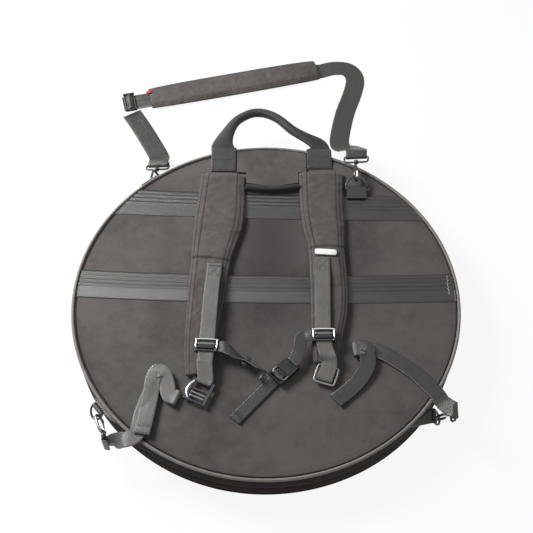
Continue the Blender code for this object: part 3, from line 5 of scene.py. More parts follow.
import bmesh
import bpy
import numpy as np
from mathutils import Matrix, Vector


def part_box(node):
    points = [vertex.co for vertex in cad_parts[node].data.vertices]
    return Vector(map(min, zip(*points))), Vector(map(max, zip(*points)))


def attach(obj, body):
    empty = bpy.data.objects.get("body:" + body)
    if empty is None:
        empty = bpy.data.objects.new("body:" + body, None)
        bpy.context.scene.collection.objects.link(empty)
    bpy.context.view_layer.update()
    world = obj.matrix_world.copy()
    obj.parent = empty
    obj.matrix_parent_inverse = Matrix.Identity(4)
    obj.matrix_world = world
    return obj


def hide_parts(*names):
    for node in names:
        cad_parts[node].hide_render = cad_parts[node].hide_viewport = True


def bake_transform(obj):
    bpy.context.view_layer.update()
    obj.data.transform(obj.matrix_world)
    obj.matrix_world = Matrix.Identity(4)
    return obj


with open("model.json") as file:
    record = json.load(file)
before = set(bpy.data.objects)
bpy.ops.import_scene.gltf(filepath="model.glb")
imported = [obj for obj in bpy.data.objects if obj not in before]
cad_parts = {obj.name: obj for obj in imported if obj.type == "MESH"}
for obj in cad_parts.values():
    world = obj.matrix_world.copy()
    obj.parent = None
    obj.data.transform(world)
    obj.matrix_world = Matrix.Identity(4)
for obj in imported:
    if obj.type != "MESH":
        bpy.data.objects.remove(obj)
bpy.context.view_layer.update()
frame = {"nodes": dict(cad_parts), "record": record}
print("frame loaded:", len(frame["nodes"]), "solids")

bodyOf = {node: body for body, nodes in frame["record"]["behaviour"]["bodies"].items() for node in nodes}

# The shell's sizes in metres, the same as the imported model's
bag = {
    "radius": 0.320, "height": 0.058, "wall": 0.004, "bulge": 0.0006, "gap": 0.0003, "fold": -0.262,
    "panelRadius": 0.3157, "frontThickness": 0.006, "backThickness": 0.007, "pipingRing": 0.3186,
    "piping": 0.0026, "pipingLevel": 0.05722, "lowWallTop": 0.0259, "highWallBottom": 0.0321,
    "gussetTop": 0.05432, "seamRadii": (0.3090, 0.3128), "bandWidth": 0.054, "webbing": 0.0016,
}


# Numbers and nodes for materials

def hexToLinear(text):
    value = np.array([int(text[k:k + 2], 16) for k in (1, 3, 5)]) / 255
    linear = np.where(value <= 0.04045, value / 12.92, ((value + 0.055) / 1.055) ** 2.4)
    return (*linear.tolist(), 1.0)


def addNode(tree, kind, settings=None, inputs=None):
    # one node: its settings by name, and its sockets either set or linked from another socket
    node = tree.nodes.new(kind)
    for name, value in (settings or {}).items():
        setattr(node, name, value)
    for name, value in (inputs or {}).items():
        if isinstance(value, bpy.types.NodeSocket):
            tree.links.new(value, node.inputs[name])
        else:
            node.inputs[name].default_value = value
    return node


def newMaterial(name, finish):
    # a Principled surface with its steady values set on its own sockets
    material = bpy.data.materials.new(name)
    material.use_nodes = True
    tree = material.node_tree
    shader = tree.nodes["Principled BSDF"]
    for socket, value in finish.items():
        shader.inputs[socket].default_value = value
    return material, tree, shader


def clothMaterial(name, cloth):
    # woven cloth: two sets of threads across each other, paler where they rise, a soft mottle, streaks that are
    # painted sheen on the webbings, and the thread colour where the darkening attribute is high, at seams and at
    # painted shade
    finish = {"Roughness": cloth["roughness"], "Sheen Weight": cloth["sheen"], "Sheen Roughness": 0.45,
              "Specular IOR Level": cloth["gloss"], "IOR": 1.45}
    material, tree, shader = newMaterial(name, finish)
    place = addNode(tree, "ShaderNodeTexCoord").outputs[cloth["space"]]
    turned = addNode(tree, "ShaderNodeMapping", None, {"Vector": place, "Rotation": (0, 0, math.radians(cloth["turn"]))})
    axes = addNode(tree, "ShaderNodeSeparateXYZ", None, {0: turned.outputs[0]}).outputs
    threads = []
    for axis, pitch in zip((0, 1), cloth["threads"]):
        phase = addNode(tree, "ShaderNodeMath", {"operation": "MULTIPLY"}, {0: axes[axis], 1: math.tau / pitch})
        threads.append(addNode(tree, "ShaderNodeMath", {"operation": "SINE"}, {0: phase.outputs[0]}).outputs[0])
    weave = addNode(tree, "ShaderNodeMath", {"operation": "MULTIPLY"}, {0: threads[0], 1: threads[1]})
    weave = addNode(tree, "ShaderNodeMath", {"operation": "MULTIPLY_ADD"}, {0: weave.outputs[0], 1: 0.5, 2: 0.5})
    mottle = addNode(tree, "ShaderNodeTexNoise", None,
                     {"Vector": place, "Scale": cloth["mottle"], "Detail": 4.0, "Roughness": 0.6})
    streak = addNode(tree, "ShaderNodeMapping", None, {"Vector": place, "Scale": cloth["streak"]})
    streaks = addNode(tree, "ShaderNodeTexNoise", None, {"Vector": streak.outputs[0], "Scale": 1.0, "Detail": 3.0})
    shade = addNode(tree, "ShaderNodeMath", {"operation": "MULTIPLY_ADD"},
                    {0: weave.outputs[0], 1: cloth["contrast"], 2: streaks.outputs[0]})
    shade = addNode(tree, "ShaderNodeMath", {"operation": "MULTIPLY_ADD", "use_clamp": True},
                    {0: mottle.outputs[0], 1: 0.6, 2: shade.outputs[0]})
    ramp = addNode(tree, "ShaderNodeValToRGB", None, {0: shade.outputs[0]})
    ramp.color_ramp.elements[0].position = 0.35
    ramp.color_ramp.elements[0].color = hexToLinear(cloth["dark"])
    ramp.color_ramp.elements[1].position = 1.0
    ramp.color_ramp.elements[1].color = hexToLinear(cloth["light"])
    seam = addNode(tree, "ShaderNodeAttribute", {"attribute_name": "seam"})
    colour = addNode(tree, "ShaderNodeMix", {"data_type": "RGBA"},
                     {0: seam.outputs["Fac"], 6: ramp.outputs[0], 7: hexToLinear(cloth["seam"])})
    tree.links.new(colour.outputs[2], shader.inputs["Base Color"])
    crease = addNode(tree, "ShaderNodeTexNoise", None,
                     {"Vector": place, "Scale": cloth["crease"], "Detail": 2.0, "Distortion": 0.6})
    coarse = addNode(tree, "ShaderNodeBump", None,
                     {"Strength": cloth["creaseDepth"], "Distance": 0.01, "Height": crease.outputs[0]})
    fine = addNode(tree, "ShaderNodeBump", None,
                   {"Strength": cloth["bump"], "Distance": 0.0004, "Height": weave.outputs[0], "Normal": coarse.outputs[0]})
    tree.links.new(fine.outputs[0], shader.inputs["Normal"])
    return material


def hardMaterial(name, hard):
    # moulded plastic or plated metal: one colour with a faint cloudiness in colour and gloss
    finish = {"Metallic": hard["metal"], "Specular IOR Level": 0.5}
    material, tree, shader = newMaterial(name, finish)
    place = addNode(tree, "ShaderNodeTexCoord").outputs["Object"]
    cloud = addNode(tree, "ShaderNodeTexNoise", None, {"Vector": place, "Scale": hard["grain"], "Detail": 3.0})
    colour = addNode(tree, "ShaderNodeMix", {"data_type": "RGBA"},
                     {0: cloud.outputs[0], 6: hexToLinear(hard["dark"]), 7: hexToLinear(hard["light"])})
    tree.links.new(colour.outputs[2], shader.inputs["Base Color"])
    gloss = addNode(tree, "ShaderNodeMapRange", None,
                    {"Value": cloud.outputs[0], "To Min": hard["roughness"][0], "To Max": hard["roughness"][1]})
    tree.links.new(gloss.outputs[0], shader.inputs["Roughness"])
    bump = addNode(tree, "ShaderNodeBump", None,
                   {"Strength": hard["bump"], "Distance": 0.0002, "Height": cloud.outputs[0]})
    tree.links.new(bump.outputs[0], shader.inputs["Normal"])
    return material


# Thread pitches are drawn at 1.2 to 2.4 mm, coarser than real cloth, so that they show
plainCloth = {"space": "Object", "turn": 45, "threads": (0.0016, 0.0016), "mottle": 60.0, "streak": (9, 9, 9),
              "contrast": 0.18, "roughness": 0.86, "sheen": 0.12, "gloss": 0.25, "bump": 0.35, "crease": 6.0,
              "creaseDepth": 0.24, "dark": "#2b2826", "light": "#565250", "seam": "#100e0d"}
looks = {
    # polyester oxford, matt and warm grey-brown, with a barely seen thread
    "shell": clothMaterial("shellOxfordPolyester", plainCloth | {"crease": 4.5}),
    # the same cloth in a darker tone on the walls: painted shade where they sit against the floor
    "wall": clothMaterial("shadedWallOxfordPolyester", plainCloth | {"dark": "#0e0c0b", "light": "#272220", "sheen": 0.0, "gloss": 0.12}),
    # softer brushed cloth over foam
    "pad": clothMaterial("padBrushedPolyester", plainCloth | {
        "space": "UV", "dark": "#262321", "light": "#57524f", "crease": 22.0, "creaseDepth": 0.75, "mottle": 90.0}),
    # ribbed lining cloth round the roll under the yoke
    "roll": clothMaterial("rollRibbedPolyester", plainCloth | {
        "space": "UV", "turn": 0, "threads": (0.003, 0.0012), "dark": "#161615", "light": "#343331"}),
    # short brushed felt
    "felt": clothMaterial("dividerBrushedFelt", plainCloth | {"dark": "#191919", "light": "#2a2a2b", "sheen": 0.3}),
    # bias binding pulled tight over cord, in a lighter tone: a painted highlight on the round of the cord
    "piping": clothMaterial("pipingBiasBinding", plainCloth | {
        "dark": "#4b4744", "light": "#7d7772", "roughness": 0.62, "gloss": 0.35, "threads": (0.0012, 0.0012)}),
    # polyester zip tape, dense and black
    "zipTape": clothMaterial("zipTapePolyester", plainCloth | {
        "dark": "#161616", "light": "#2b2a2a", "seam": "#0c0c0c", "roughness": 0.6, "gloss": 0.4}),
    # nylon webbing: hard-spun ribs along its length, with painted sheen as light streaks along them
    "webbing": clothMaterial("harnessNylonWebbing", plainCloth | {
        "space": "UV", "turn": 0, "threads": (0.0042, 0.0016), "streak": (520, 14, 1), "mottle": 70.0, "contrast": 0.34,
        "roughness": 0.34, "gloss": 0.62, "sheen": 0.0, "bump": 0.7, "crease": 24.0, "creaseDepth": 0.26,
        "dark": "#050505", "light": "#2b2b28", "seam": "#040404"}),
    # the same webbing in a lighter tone: a painted highlight on three straps
    "paintedHighlightWebbing": clothMaterial("paintedHighlightNylonWebbing", plainCloth | {
        "space": "UV", "turn": 0, "threads": (0.0042, 0.0016), "streak": (520, 14, 1), "mottle": 50.0, "contrast": 0.34,
        "roughness": 0.34, "gloss": 0.7, "sheen": 0.0, "bump": 0.7, "crease": 24.0, "creaseDepth": 0.30,
        "dark": "#161615", "light": "#5b5a56", "seam": "#0c0c0c"}),
    # flat lashing bands: the same nylon in a wide weave, with painted sheen as light streaks along it
    "band": clothMaterial("bandNylonWebbing", plainCloth | {
        "space": "UV", "turn": 0, "threads": (0.0030, 0.0014), "streak": (260, 6, 1), "mottle": 40.0, "contrast": 0.24,
        "roughness": 0.36, "gloss": 0.6, "sheen": 0.0, "bump": 0.5, "crease": 10.0, "creaseDepth": 0.12,
        "dark": "#0c0d0c", "light": "#2e302c", "seam": "#0a0909"}),
    # dark webbing rolled and sewn for the grip, with painted sheen as light streaks along it
    "grip": clothMaterial("gripNylonWebbing", plainCloth | {
        "space": "UV", "turn": 0, "threads": (0.0035, 0.0014), "streak": (200, 12, 1), "contrast": 0.25,
        "roughness": 0.5, "gloss": 0.4, "bump": 0.7, "dark": "#060606", "light": "#222221", "seam": "#040404"}),
    # moulded acetal: near black with a soft highlight
    "plastic": hardMaterial("fittingAcetal", {
        "metal": 0.0, "dark": "#0e0e0f", "light": "#1d1d1f", "roughness": (0.22, 0.36), "grain": 900.0, "bump": 0.12}),
    # gunmetal plating: dark with bright edges
    "gunmetal": hardMaterial("gunmetalPlatedZinc", {
        "metal": 1.0, "dark": "#2f3032", "light": "#66676a", "roughness": (0.16, 0.30), "grain": 300.0, "bump": 0.05}),
    # satin cast zinc: broad soft highlight
    "cast": hardMaterial("satinCastZinc", {
        "metal": 1.0, "dark": "#66676a", "light": "#8d8f90", "roughness": (0.34, 0.5), "grain": 700.0, "bump": 0.15}),
    # bright nickel plating: mirrors the white room
    "nickel": hardMaterial("brightNickelPlate", {
        "metal": 1.0, "dark": "#b9babb", "light": "#dcdddd", "roughness": (0.12, 0.22), "grain": 300.0, "bump": 0.03}),
    # polyester sewing thread
    "thread": clothMaterial("polyesterThread", plainCloth | {
        "dark": "#393734", "light": "#6b6864", "threads": (0.0006, 0.0006), "roughness": 0.6}),
    # pale polyester plate, plain
    "plate": clothMaterial("palePolyesterPlate", plainCloth | {
        "dark": "#dddcd8", "light": "#f2f1ee", "seam": "#b8b6b1", "roughness": 0.55, "contrast": 0.05}),
    # red woven tab
    "redTab": clothMaterial("redWovenTab", plainCloth | {"dark": "#8c1f27", "light": "#c23a42", "threads": (0.001, 0.001)}),
}
print("materials ready:", len(looks))


# Surfaces on a grid

def makeMesh(name, points, faces, uv=None, seam=None):
    # a welded mesh with outward faces; uv is in metres; the darkening values run from 0, cloth, to 1, thread colour,
    # for seams and painted shade
    mesh = bpy.data.meshes.new(name)
    mesh.from_pydata(points.reshape(-1, 3).tolist(), [], faces.tolist())
    layer = mesh.uv_layers.new(name="cloth")
    flat = uv.reshape(-1, 2) if uv is not None else points.reshape(-1, 3)[:, :2]
    layer.data.foreach_set("uv", flat[faces.ravel()].astype(np.float32).ravel())
    values = np.zeros(len(mesh.vertices), np.float32) if seam is None else seam.ravel().astype(np.float32)
    mesh.attributes.new("seam", "FLOAT", "POINT").data.foreach_set("value", values)
    shape = bmesh.new()
    shape.from_mesh(mesh)
    bmesh.ops.remove_doubles(shape, verts=shape.verts, dist=2e-6)
    bmesh.ops.recalc_face_normals(shape, faces=shape.faces)
    shape.to_mesh(mesh)
    shape.free()
    mesh.shade_smooth()
    obj = bpy.data.objects.new(name, mesh)
    bpy.context.scene.collection.objects.link(obj)
    return obj


def gridFaces(rows, columns):
    # the four corners of each cell of a grid with this many rows and columns of points
    corner = (np.arange(rows - 1)[:, None] * columns + np.arange(columns - 1)).ravel()
    return np.stack([corner, corner + 1, corner + columns + 1, corner + columns], 1)


def closedSurface(name, grid, uv=None, seam=None, capped=True):
    # rows of closed outlines; an end is closed by drawing its outline in to its own middle
    if capped:
        middle = grid[[0, -1]].mean(1, keepdims=True)
        shrunk = [middle + (grid[[0, -1]] - middle) * share for share in (0.0, 0.7)]
        grid = np.concatenate([shrunk[0][:1], shrunk[1][:1], grid, shrunk[1][1:], shrunk[0][1:]])
        if uv is not None:
            uv = np.concatenate([uv[:1], uv[:1], uv, uv[-1:], uv[-1:]])
        if seam is not None:
            seam = np.concatenate([seam[:1], seam[:1], seam, seam[-1:], seam[-1:]])
    rows, columns = grid.shape[:2]
    return makeMesh(name, grid, gridFaces(rows, columns), uv, seam)


def curveThrough(points, steps):
    # Catmull-Rom curve through rows of numbers, with this many steps between neighbours
    rows = np.concatenate([points[:1] * 2 - points[1:2], points, points[-1:] * 2 - points[-2:-1]])
    a, b, c, d = (rows[k:len(rows) - 3 + k, None] for k in range(4))
    t = (np.arange(steps) / steps).reshape((1, steps) + (1,) * (points.ndim - 1))
    curve = (b * 2 + (c - a) * t + (a * 2 - b * 5 + c * 4 - d) * t ** 2 + (b * 3 - a - c * 3 + d) * t ** 3) / 2
    return np.concatenate([curve.reshape((-1,) + points.shape[1:]), points[-1:]])


def ripple(x, y, scale, seed):
    # a soft uneven swell from -1 to 1: five waves of seeded direction and phase
    rng = np.random.default_rng(seed)
    angle, phase, rate = rng.uniform(0, math.tau, 5), rng.uniform(0, math.tau, 5), rng.uniform(0.6, 1.7, 5)
    waves = [np.sin((x * math.cos(a) + y * math.sin(a)) * r / scale + p) for a, p, r in zip(angle, phase, rate)]
    return sum(waves) / 5


def mount(piece, look, slotName, *nodes, body=None):
    # gives the piece its material, hides the solids that it stands for and lets it move with their body
    piece.data.materials.clear()
    piece.data.materials.append(looks[look])
    if nodes:
        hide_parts(*nodes)
    if body != "blend":
        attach(piece, body or bodyOf[nodes[0]])
    return piece


# Reading a strap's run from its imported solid

def weldedNode(node):
    mesh = frame["nodes"][node].data
    mesh.calc_loop_triangles()
    points = np.empty(len(mesh.vertices) * 3, np.float32)
    mesh.vertices.foreach_get("co", points)
    corners = np.empty(len(mesh.loop_triangles) * 3, np.int32)
    mesh.loop_triangles.foreach_get("vertices", corners)
    _, first, index = np.unique(np.round(points.reshape(-1, 3), 6), axis=0, return_index=True, return_inverse=True)
    triangles = index.ravel()[corners].reshape(-1, 3)
    whole = (triangles[:, 0] != triangles[:, 1]) & (triangles[:, 1] != triangles[:, 2]) & (triangles[:, 0] != triangles[:, 2])
    return points.reshape(-1, 3)[first].astype(float), triangles[whole]


def sectionsOf(node, corners):
    # walks a swept solid from one flat end to the other, one outline at a time, and gives
    # its outlines as an array of (outline, corner, xyz) with the corners in one order
    points, triangles = weldedNode(node)
    near = np.zeros((len(points), len(points)), bool)
    for a, b in ((0, 1), (1, 2), (2, 0)):
        near[triangles[:, a], triangles[:, b]] = near[triangles[:, b], triangles[:, a]] = True
    p, q, r = (points[triangles[:, k]] for k in range(3))
    normal = np.cross(q - p, r - p)
    normal /= np.maximum(np.linalg.norm(normal, axis=1, keepdims=True), 1e-15)
    level = (normal * p).sum(1)
    alike = (normal @ normal.T > 0.9995) & (np.abs(level[:, None] - level[None]) < 4e-5)
    walks = []
    for group in np.unique(alike[alike.sum(1) == corners - 2], axis=0):
        rings, seen = [np.unique(triangles[group])], np.zeros(len(points), bool)
        while len(rings[-1]) == corners:
            seen[rings[-1]] = True
            rings.append(np.flatnonzero(near[rings[-1]].any(0) & ~seen))
        walks.append((rings[:-1], seen))
    walks.sort(key=lambda walk: -len(walk[0]))
    rings, seen = walks[0]
    if not seen.all():
        # a crossed diagonal stops the walk: the rest comes from the other end, and what is left between is shared out
        others = next(walk for walk in walks[1:] if not (walk[1] & seen).any())
        left = np.flatnonzero(~(seen | others[1]))
        reach = points[others[0][-1]].mean(0) - points[rings[-1]].mean(0)
        left = left[np.argsort(points[left] @ reach)].reshape(-1, corners)
        rings = rings + list(left) + others[0][::-1]
    outlines = points[np.array(rings)]
    middles = outlines.mean(1)
    forward = np.gradient(middles, axis=0)
    ordered = []
    for outline, middle, ahead in zip(outlines, middles, forward):
        ahead = ahead / np.linalg.norm(ahead)
        spokes = outline - middle
        zero = spokes[0] - ahead * (spokes[0] @ ahead)
        turn = np.argsort(np.arctan2(spokes @ np.cross(ahead, zero), spokes @ zero))
        ring = outline[turn]
        if ordered:
            before = ordered[-1] - ordered[-1].mean(0)
            shifts = [np.roll(ring - middle, k, axis=0) for k in range(corners)]
            ring = middle + min(shifts, key=lambda rows: ((rows - before) ** 2).sum())
        ordered.append(ring)
    return np.array(ordered)


def flatRun(node):
    # a strap's middle line, its full width and its full thickness as vectors along the run
    rings = sectionsOf(node, 4)
    if np.linalg.norm(rings[:, 1] - rings[:, 0], axis=1).mean() < np.linalg.norm(rings[:, 3] - rings[:, 0], axis=1).mean():
        rings = np.roll(rings, -1, axis=1)
    width = (rings[:, 1] - rings[:, 0] + rings[:, 2] - rings[:, 3]) / 2
    thick = (rings[:, 3] - rings[:, 0] + rings[:, 2] - rings[:, 1]) / 2
    return rings.mean(1), width, thick


def runLength(middle):
    return np.concatenate([[0], np.cumsum(np.linalg.norm(np.diff(middle, axis=0), axis=1))])


# Webbing: a flat outline with rounded selvedges, as shares of the width and the thickness
topShares = np.linspace(-0.485, 0.485, 13)
webOutline = np.array(
    [(a, -0.5) for a in topShares] + [(0.496, -0.34), (0.5, 0.0), (0.496, 0.34)]
    + [(a, 0.5) for a in topShares[::-1]] + [(-0.496, 0.34), (-0.5, 0.0), (-0.496, -0.34), (-0.485, -0.5)])


def webbingOver(node, look="webbing", slotName="webbing", steps=3, hems=(0.0, 0.0), ridges=0.0):
    # the flat outline carried along the solid's run; a long hem lifts the last stretch and ends in a stitched line
    middle, width, thick = (curveThrough(part, steps) for part in flatRun(node))
    run = runLength(middle)
    across, upward = webOutline[:, 0], webOutline[:, 1]
    full = np.linalg.norm(width, axis=1).mean()
    ridge = 1 + ridges * np.cos(across * full * math.tau / 0.0042)
    grid = middle[:, None] + width[:, None] * across[:, None] + thick[:, None] * (upward * ridge * 0.96)[:, None]
    uv = np.stack(np.broadcast_arrays((across * full)[None], run[:, None]), -1)
    seam = np.zeros(grid.shape[:2])
    for reach, place in ((hems[0], hems[0]), (hems[1], run[-1] - hems[1])):
        if reach > 0.008:
            doubled = (np.abs(run - place - math.copysign(reach, place - reach - 1e-6) / 2) < reach / 2)[:, None, None]
            grid = grid + thick[:, None] * (doubled * 0.4 * np.sign(thick[:, None, 2:])) * (np.abs(across) < 0.49)[None, :, None]
        if reach:
            seam += np.exp(-((run[:, None] - place) / 0.0012) ** 2) * (np.abs(across) < 0.46)
    # painted shade: darker along the rounded selvedges
    seam += 0.35 * (np.abs(across) > 0.484)
    return mount(closedSurface(node + "Cloth", grid, uv, np.clip(seam, 0, 1)), look, slotName, node)


# The shell: panels, walls and piping, each a closed outline turned about the bag's middle

def turned(name, outline, look, slotName, nodes, body, count=288, drop=None, angles=(0.0, 360.0), seams=(), wave=None,
           shades=()):
    # (radius, height) outline turned through the angles; drop changes heights by x and y, and shades
    # are painted shade: soft darker patches of the cloth
    angle = np.radians(np.linspace(*angles, count + 1))[:, None]
    radius = np.broadcast_to(outline[:, 0], (count + 1, len(outline)))
    height = np.broadcast_to(outline[:, 1], radius.shape)
    if wave:
        radius = wave(angle, radius, height)
    x, y = radius * np.cos(angle), radius * np.sin(angle)
    z = height if drop is None else height + drop(x, y, height)
    grid = np.stack([x, y, z], -1)
    length = runLength(outline)
    uv = np.stack(np.broadcast_arrays(angle * bag["radius"], length[None]), -1)
    seam = np.zeros(x.shape)
    for place, reach, share in seams:
        seam += share * np.exp(-((radius - place) / reach) ** 2) * (height > bag["height"] * 0.9)
    for place, reach, share in shades:
        seam += share * np.exp(-((x - place[0]) / reach[0]) ** 2 - ((y - place[1]) / reach[1]) ** 4)
    whole = abs(angles[1] - angles[0]) == 360
    piece = closedSurface(name, grid, uv, np.clip(seam, 0, 1), capped=not whole)
    return mount(piece, look, slotName, *nodes, body=body)


def panelDrop(x, y, height=None):
    # where the padded panel lies a little low: slow dents, drawn by the bands as well
    dents = (ripple(x, y, 0.035, 4) + ripple(x, y, 0.014, 9) * 0.35 - 1) * 0.0004
    rim = np.clip((bag["seamRadii"][0] - np.hypot(x, y)) / 0.03, 0, 1)
    dents = dents * rim
    return dents if height is None else np.where(height > bag["height"] - 0.001, dents, 0)


def panelOutline(radius, low, high, edge, count=110):
    # half a flat disc's cut: out along the top, round the edge and back along the underside
    top = np.linspace(0, radius - edge, count)
    bend = np.radians(np.linspace(90, -90, 9))
    seams = sum(0.0005 * np.exp(-((top - place) / 0.0009) ** 2) for place in bag["seamRadii"]) if high > 0.03 else 0
    fillet = min(edge, (high - low) / 2)
    rows = [np.stack([top, high - seams + top * 0], 1),
            np.stack([radius - edge + edge * np.cos(bend[:5]), high - fillet + fillet * np.sin(bend[:5])], 1),
            np.stack([radius - edge + edge * np.cos(bend[4:]), low + fillet + fillet * np.sin(bend[4:])], 1),
            np.stack([top[::-1], top * 0 + low], 1)]
    return np.concatenate(rows)


backCover = turned(
    "backCover", panelOutline(bag["panelRadius"], bag["height"] - bag["backThickness"], bag["height"], 0.002),
    "shell", "shell_fabric", ("back_panel", "foot_panel"), "blend", drop=panelDrop,
    seams=((bag["seamRadii"][0], 0.0008, 0.75), (0.3143, 0.0015, 1.0)), count=360,
    # painted shade: a dark patch between the pads and softer ones in two bands to either side
    shades=(((0.006, 0.080), (0.066, 0.160), 0.55), ((-0.170, 0.060), (0.016, 0.200), 0.16),
            ((0.165, 0.080), (0.030, 0.130), 0.24)))
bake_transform(backCover)
turned("frontCover", panelOutline(bag["panelRadius"], 0.0, bag["frontThickness"], 0.001, 30),
       "wall", "shell_fabric", ("front_panel",), "shell")

inner = bag["radius"] - bag["wall"]
roll = np.radians(np.linspace(-120, 60, 11))
rollRing = bag["piping"] + bag["gap"]
lowerWallOutline = np.concatenate([
    [(inner, bag["gap"])],
    np.stack([bag["pipingRing"] + bag["piping"] * np.cos(roll), rollRing + bag["piping"] * np.sin(roll)], 1),
    [(bag["radius"] - 0.0005, 0.0058), (bag["radius"] + 0.0002, 0.0066), (bag["radius"] + bag["bulge"], 0.0150),
     (bag["radius"] + bag["bulge"] * 0.6, 0.0220), (bag["radius"], bag["lowWallTop"] - 0.0006),
     (bag["radius"] - 0.0008, bag["lowWallTop"]), (inner, bag["lowWallTop"]), (inner, 0.014), (inner, bag["gap"])],
])


def wallWave(angle, radius, height):
    # the padded wall's slow dents, inwards only, so the zip keeps its run
    return radius - (1 + ripple(angle * 6, height * 20, 0.9, 3)) * 0.0003 * (radius > bag["radius"])


turned("lowerWall", lowerWallOutline, "wall", "shell_fabric", ("lower_gusset",), "shell", wave=wallWave)


def footDrop(x, y, height):
    # in the foot, behind the zip's ends, the upper wall's lower edge reaches down to the lower wall
    share = np.clip((bag["fold"] + 0.001 - y) / 0.006, 0, 1)
    share = share * share * (3 - 2 * share)
    span = np.clip((bag["gussetTop"] - height) / (bag["gussetTop"] - bag["highWallBottom"]), 0, 1)
    return -share * span * (bag["highWallBottom"] - bag["lowWallTop"] - bag["gap"])


upperWallOutline = np.array([
    (inner, bag["highWallBottom"]), (bag["radius"] - 0.0008, bag["highWallBottom"]),
    (bag["radius"], bag["highWallBottom"] + 0.0006), (bag["radius"] + bag["bulge"] * 0.7, 0.0380),
    (bag["radius"] + bag["bulge"], 0.0440), (bag["radius"] + bag["bulge"] * 0.6, 0.0500),
    (bag["radius"] - 0.0003, bag["gussetTop"] - 0.0008), (bag["radius"] - 0.0012, bag["gussetTop"]),
    (inner, bag["gussetTop"]), (inner, 0.0440), (inner, bag["highWallBottom"])])
upperWall = turned("upperWall", upperWallOutline, "wall", "shell_fabric", ("upper_gusset", "foot_gusset"), "blend",
                   drop=footDrop, wave=wallWave)
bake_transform(upperWall)

ring = np.radians(np.linspace(0, 360, 15))
pipingOutline = np.stack([bag["pipingRing"] + bag["piping"] * np.cos(ring), bag["pipingLevel"] + bag["piping"] * np.sin(ring)], 1)
backPiping = turned("backPipingCord", pipingOutline, "piping", "piping", ("back_piping",), "blend", count=360)
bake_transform(backPiping)


def zipOutline(edge, slit, sign):
    # a tape's cut from its sewn edge to the coil at the slit
    coil = np.radians(np.linspace(100, -80, 7)) * sign
    middle = slit - sign * 0.0009
    rows = [(0.3167, edge), (0.3193, edge), (0.3193, middle - sign * 0.0006)]
    rows += [(0.3190 + 0.0009 * math.cos(a), middle + 0.0008 * math.sin(a)) for a in coil[::-1]]
    return np.array(rows + [(0.3167, slit), (0.3167, edge)])


def zipTeeth(angle, radius, height):
    # the coil's turns, 1.5 mm apart
    tooth = 0.5 + 0.5 * np.cos(angle * bag["radius"] * math.tau / 0.0015)
    return radius - 0.0003 * tooth * (radius > 0.31935)


for tapeNode, edge, slit, sign in (("lower_zip_tape", 0.0262, 0.0282, 1), ("upper_zip_tape", 0.0318, 0.0298, -1)):
    turned(tapeNode + "Cloth", zipOutline(edge, slit, sign), "zipTape", "zip_tape", (tapeNode,), None,
           count=5200, angles=(-55.0, 235.0), wave=zipTeeth)
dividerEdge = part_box("divider")
dividerOutline = panelOutline(dividerEdge[1].y, dividerEdge[0].z, dividerEdge[1].z, 0.002, 40)


def makeDivider():
    # a felt disc with a bound edge, cut straight at the foot
    angle = np.radians(np.linspace(0, 360, 241))[:, None]
    outline = dividerOutline.copy()
    radius = np.broadcast_to(outline[:, 0], (241, len(outline)))
    height = np.broadcast_to(outline[:, 1], radius.shape)
    bound = np.exp(-((radius - dividerEdge[1].y + 0.006) / 0.0012) ** 2)
    height = height - 0.0005 * bound * np.where(outline[:, 1] > outline[:, 1].mean(), 1, 0)
    x, y = radius * np.cos(angle), radius * np.sin(angle)
    y = np.maximum(y, dividerEdge[0].y)
    grid = np.stack([x, y, height], -1)
    uv = np.stack([x, y], -1)
    return mount(closedSurface("dividerFelt", grid, uv, bound * 0.6, capped=False), "felt", "divider_fabric", "divider")


makeDivider()
print("shell ready")


# The two lashing bands, ribbed along their length, with plain selvedges
bands = {"upper_band": ((-0.72, 0.612), (0, 0.575), (0.72, 0.558)), "lower_band": ((-0.98, 0.076), (0, 0.035), (0.98, 0.045))}


def makeBand(node, places):
    # a ribbed strip laid along its middle line, its ends cut to the round of the panel
    low, high = (np.array(corner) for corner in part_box(node))
    reach = bag["panelRadius"] - bag["gap"] * 4
    share = np.linspace(-1, 1, 321)[:, None]
    across = np.concatenate([np.linspace(-0.5, 0.5, 49), np.linspace(0.5, -0.5, 9)[1:]])[None]
    top = np.arange(across.shape[1])[None] < 49
    bend = np.polyfit([-reach, 0, reach], [y * bag["radius"] for _, y in places], 2)
    y = np.polyval(bend, share * reach * 0.94) + across * bag["bandWidth"]
    x = share * np.sqrt(reach ** 2 - y ** 2)
    ribs = np.zeros(across.shape)
    for place in (-0.02, 0.13, 0.28, 0.41):
        ribs = np.maximum(ribs, np.clip(1.25 - np.abs(across - place) / 0.047, 0, 1))
    ribs = ribs ** 0.6
    thick = high[2] - low[2]
    edge = np.clip((0.5 - np.abs(across)) / 0.012, 0, 1) ** 0.5
    z = low[2] + panelDrop(x, y) + np.where(top, thick * (0.55 + 0.45 * ribs) * (0.4 + 0.6 * edge), 0)
    uv = np.stack(np.broadcast_arrays(across * bag["bandWidth"], x), -1)
    # painted shade: the grooves between the ribs drawn darker
    grooveShade = np.where(top & (across > -0.09), 1 - ribs, 0) * 0.75
    stitch = np.exp(-((across + 0.46) / 0.012) ** 2) * top + 0.8 * np.exp(-((across - 0.475) / 0.010) ** 2) * top
    seam = np.clip(grooveShade + stitch, 0, 1) * np.ones_like(x)
    piece = closedSurface(node + "Cloth", np.stack([x, y, z + across * 0], -1), uv, seam)
    return mount(piece, "band", "webbing", node)


for bandNode, bandPlaces in bands.items():
    makeBand(bandNode, bandPlaces)
print("bands ready")


# Refined copies of solids whose shape is right

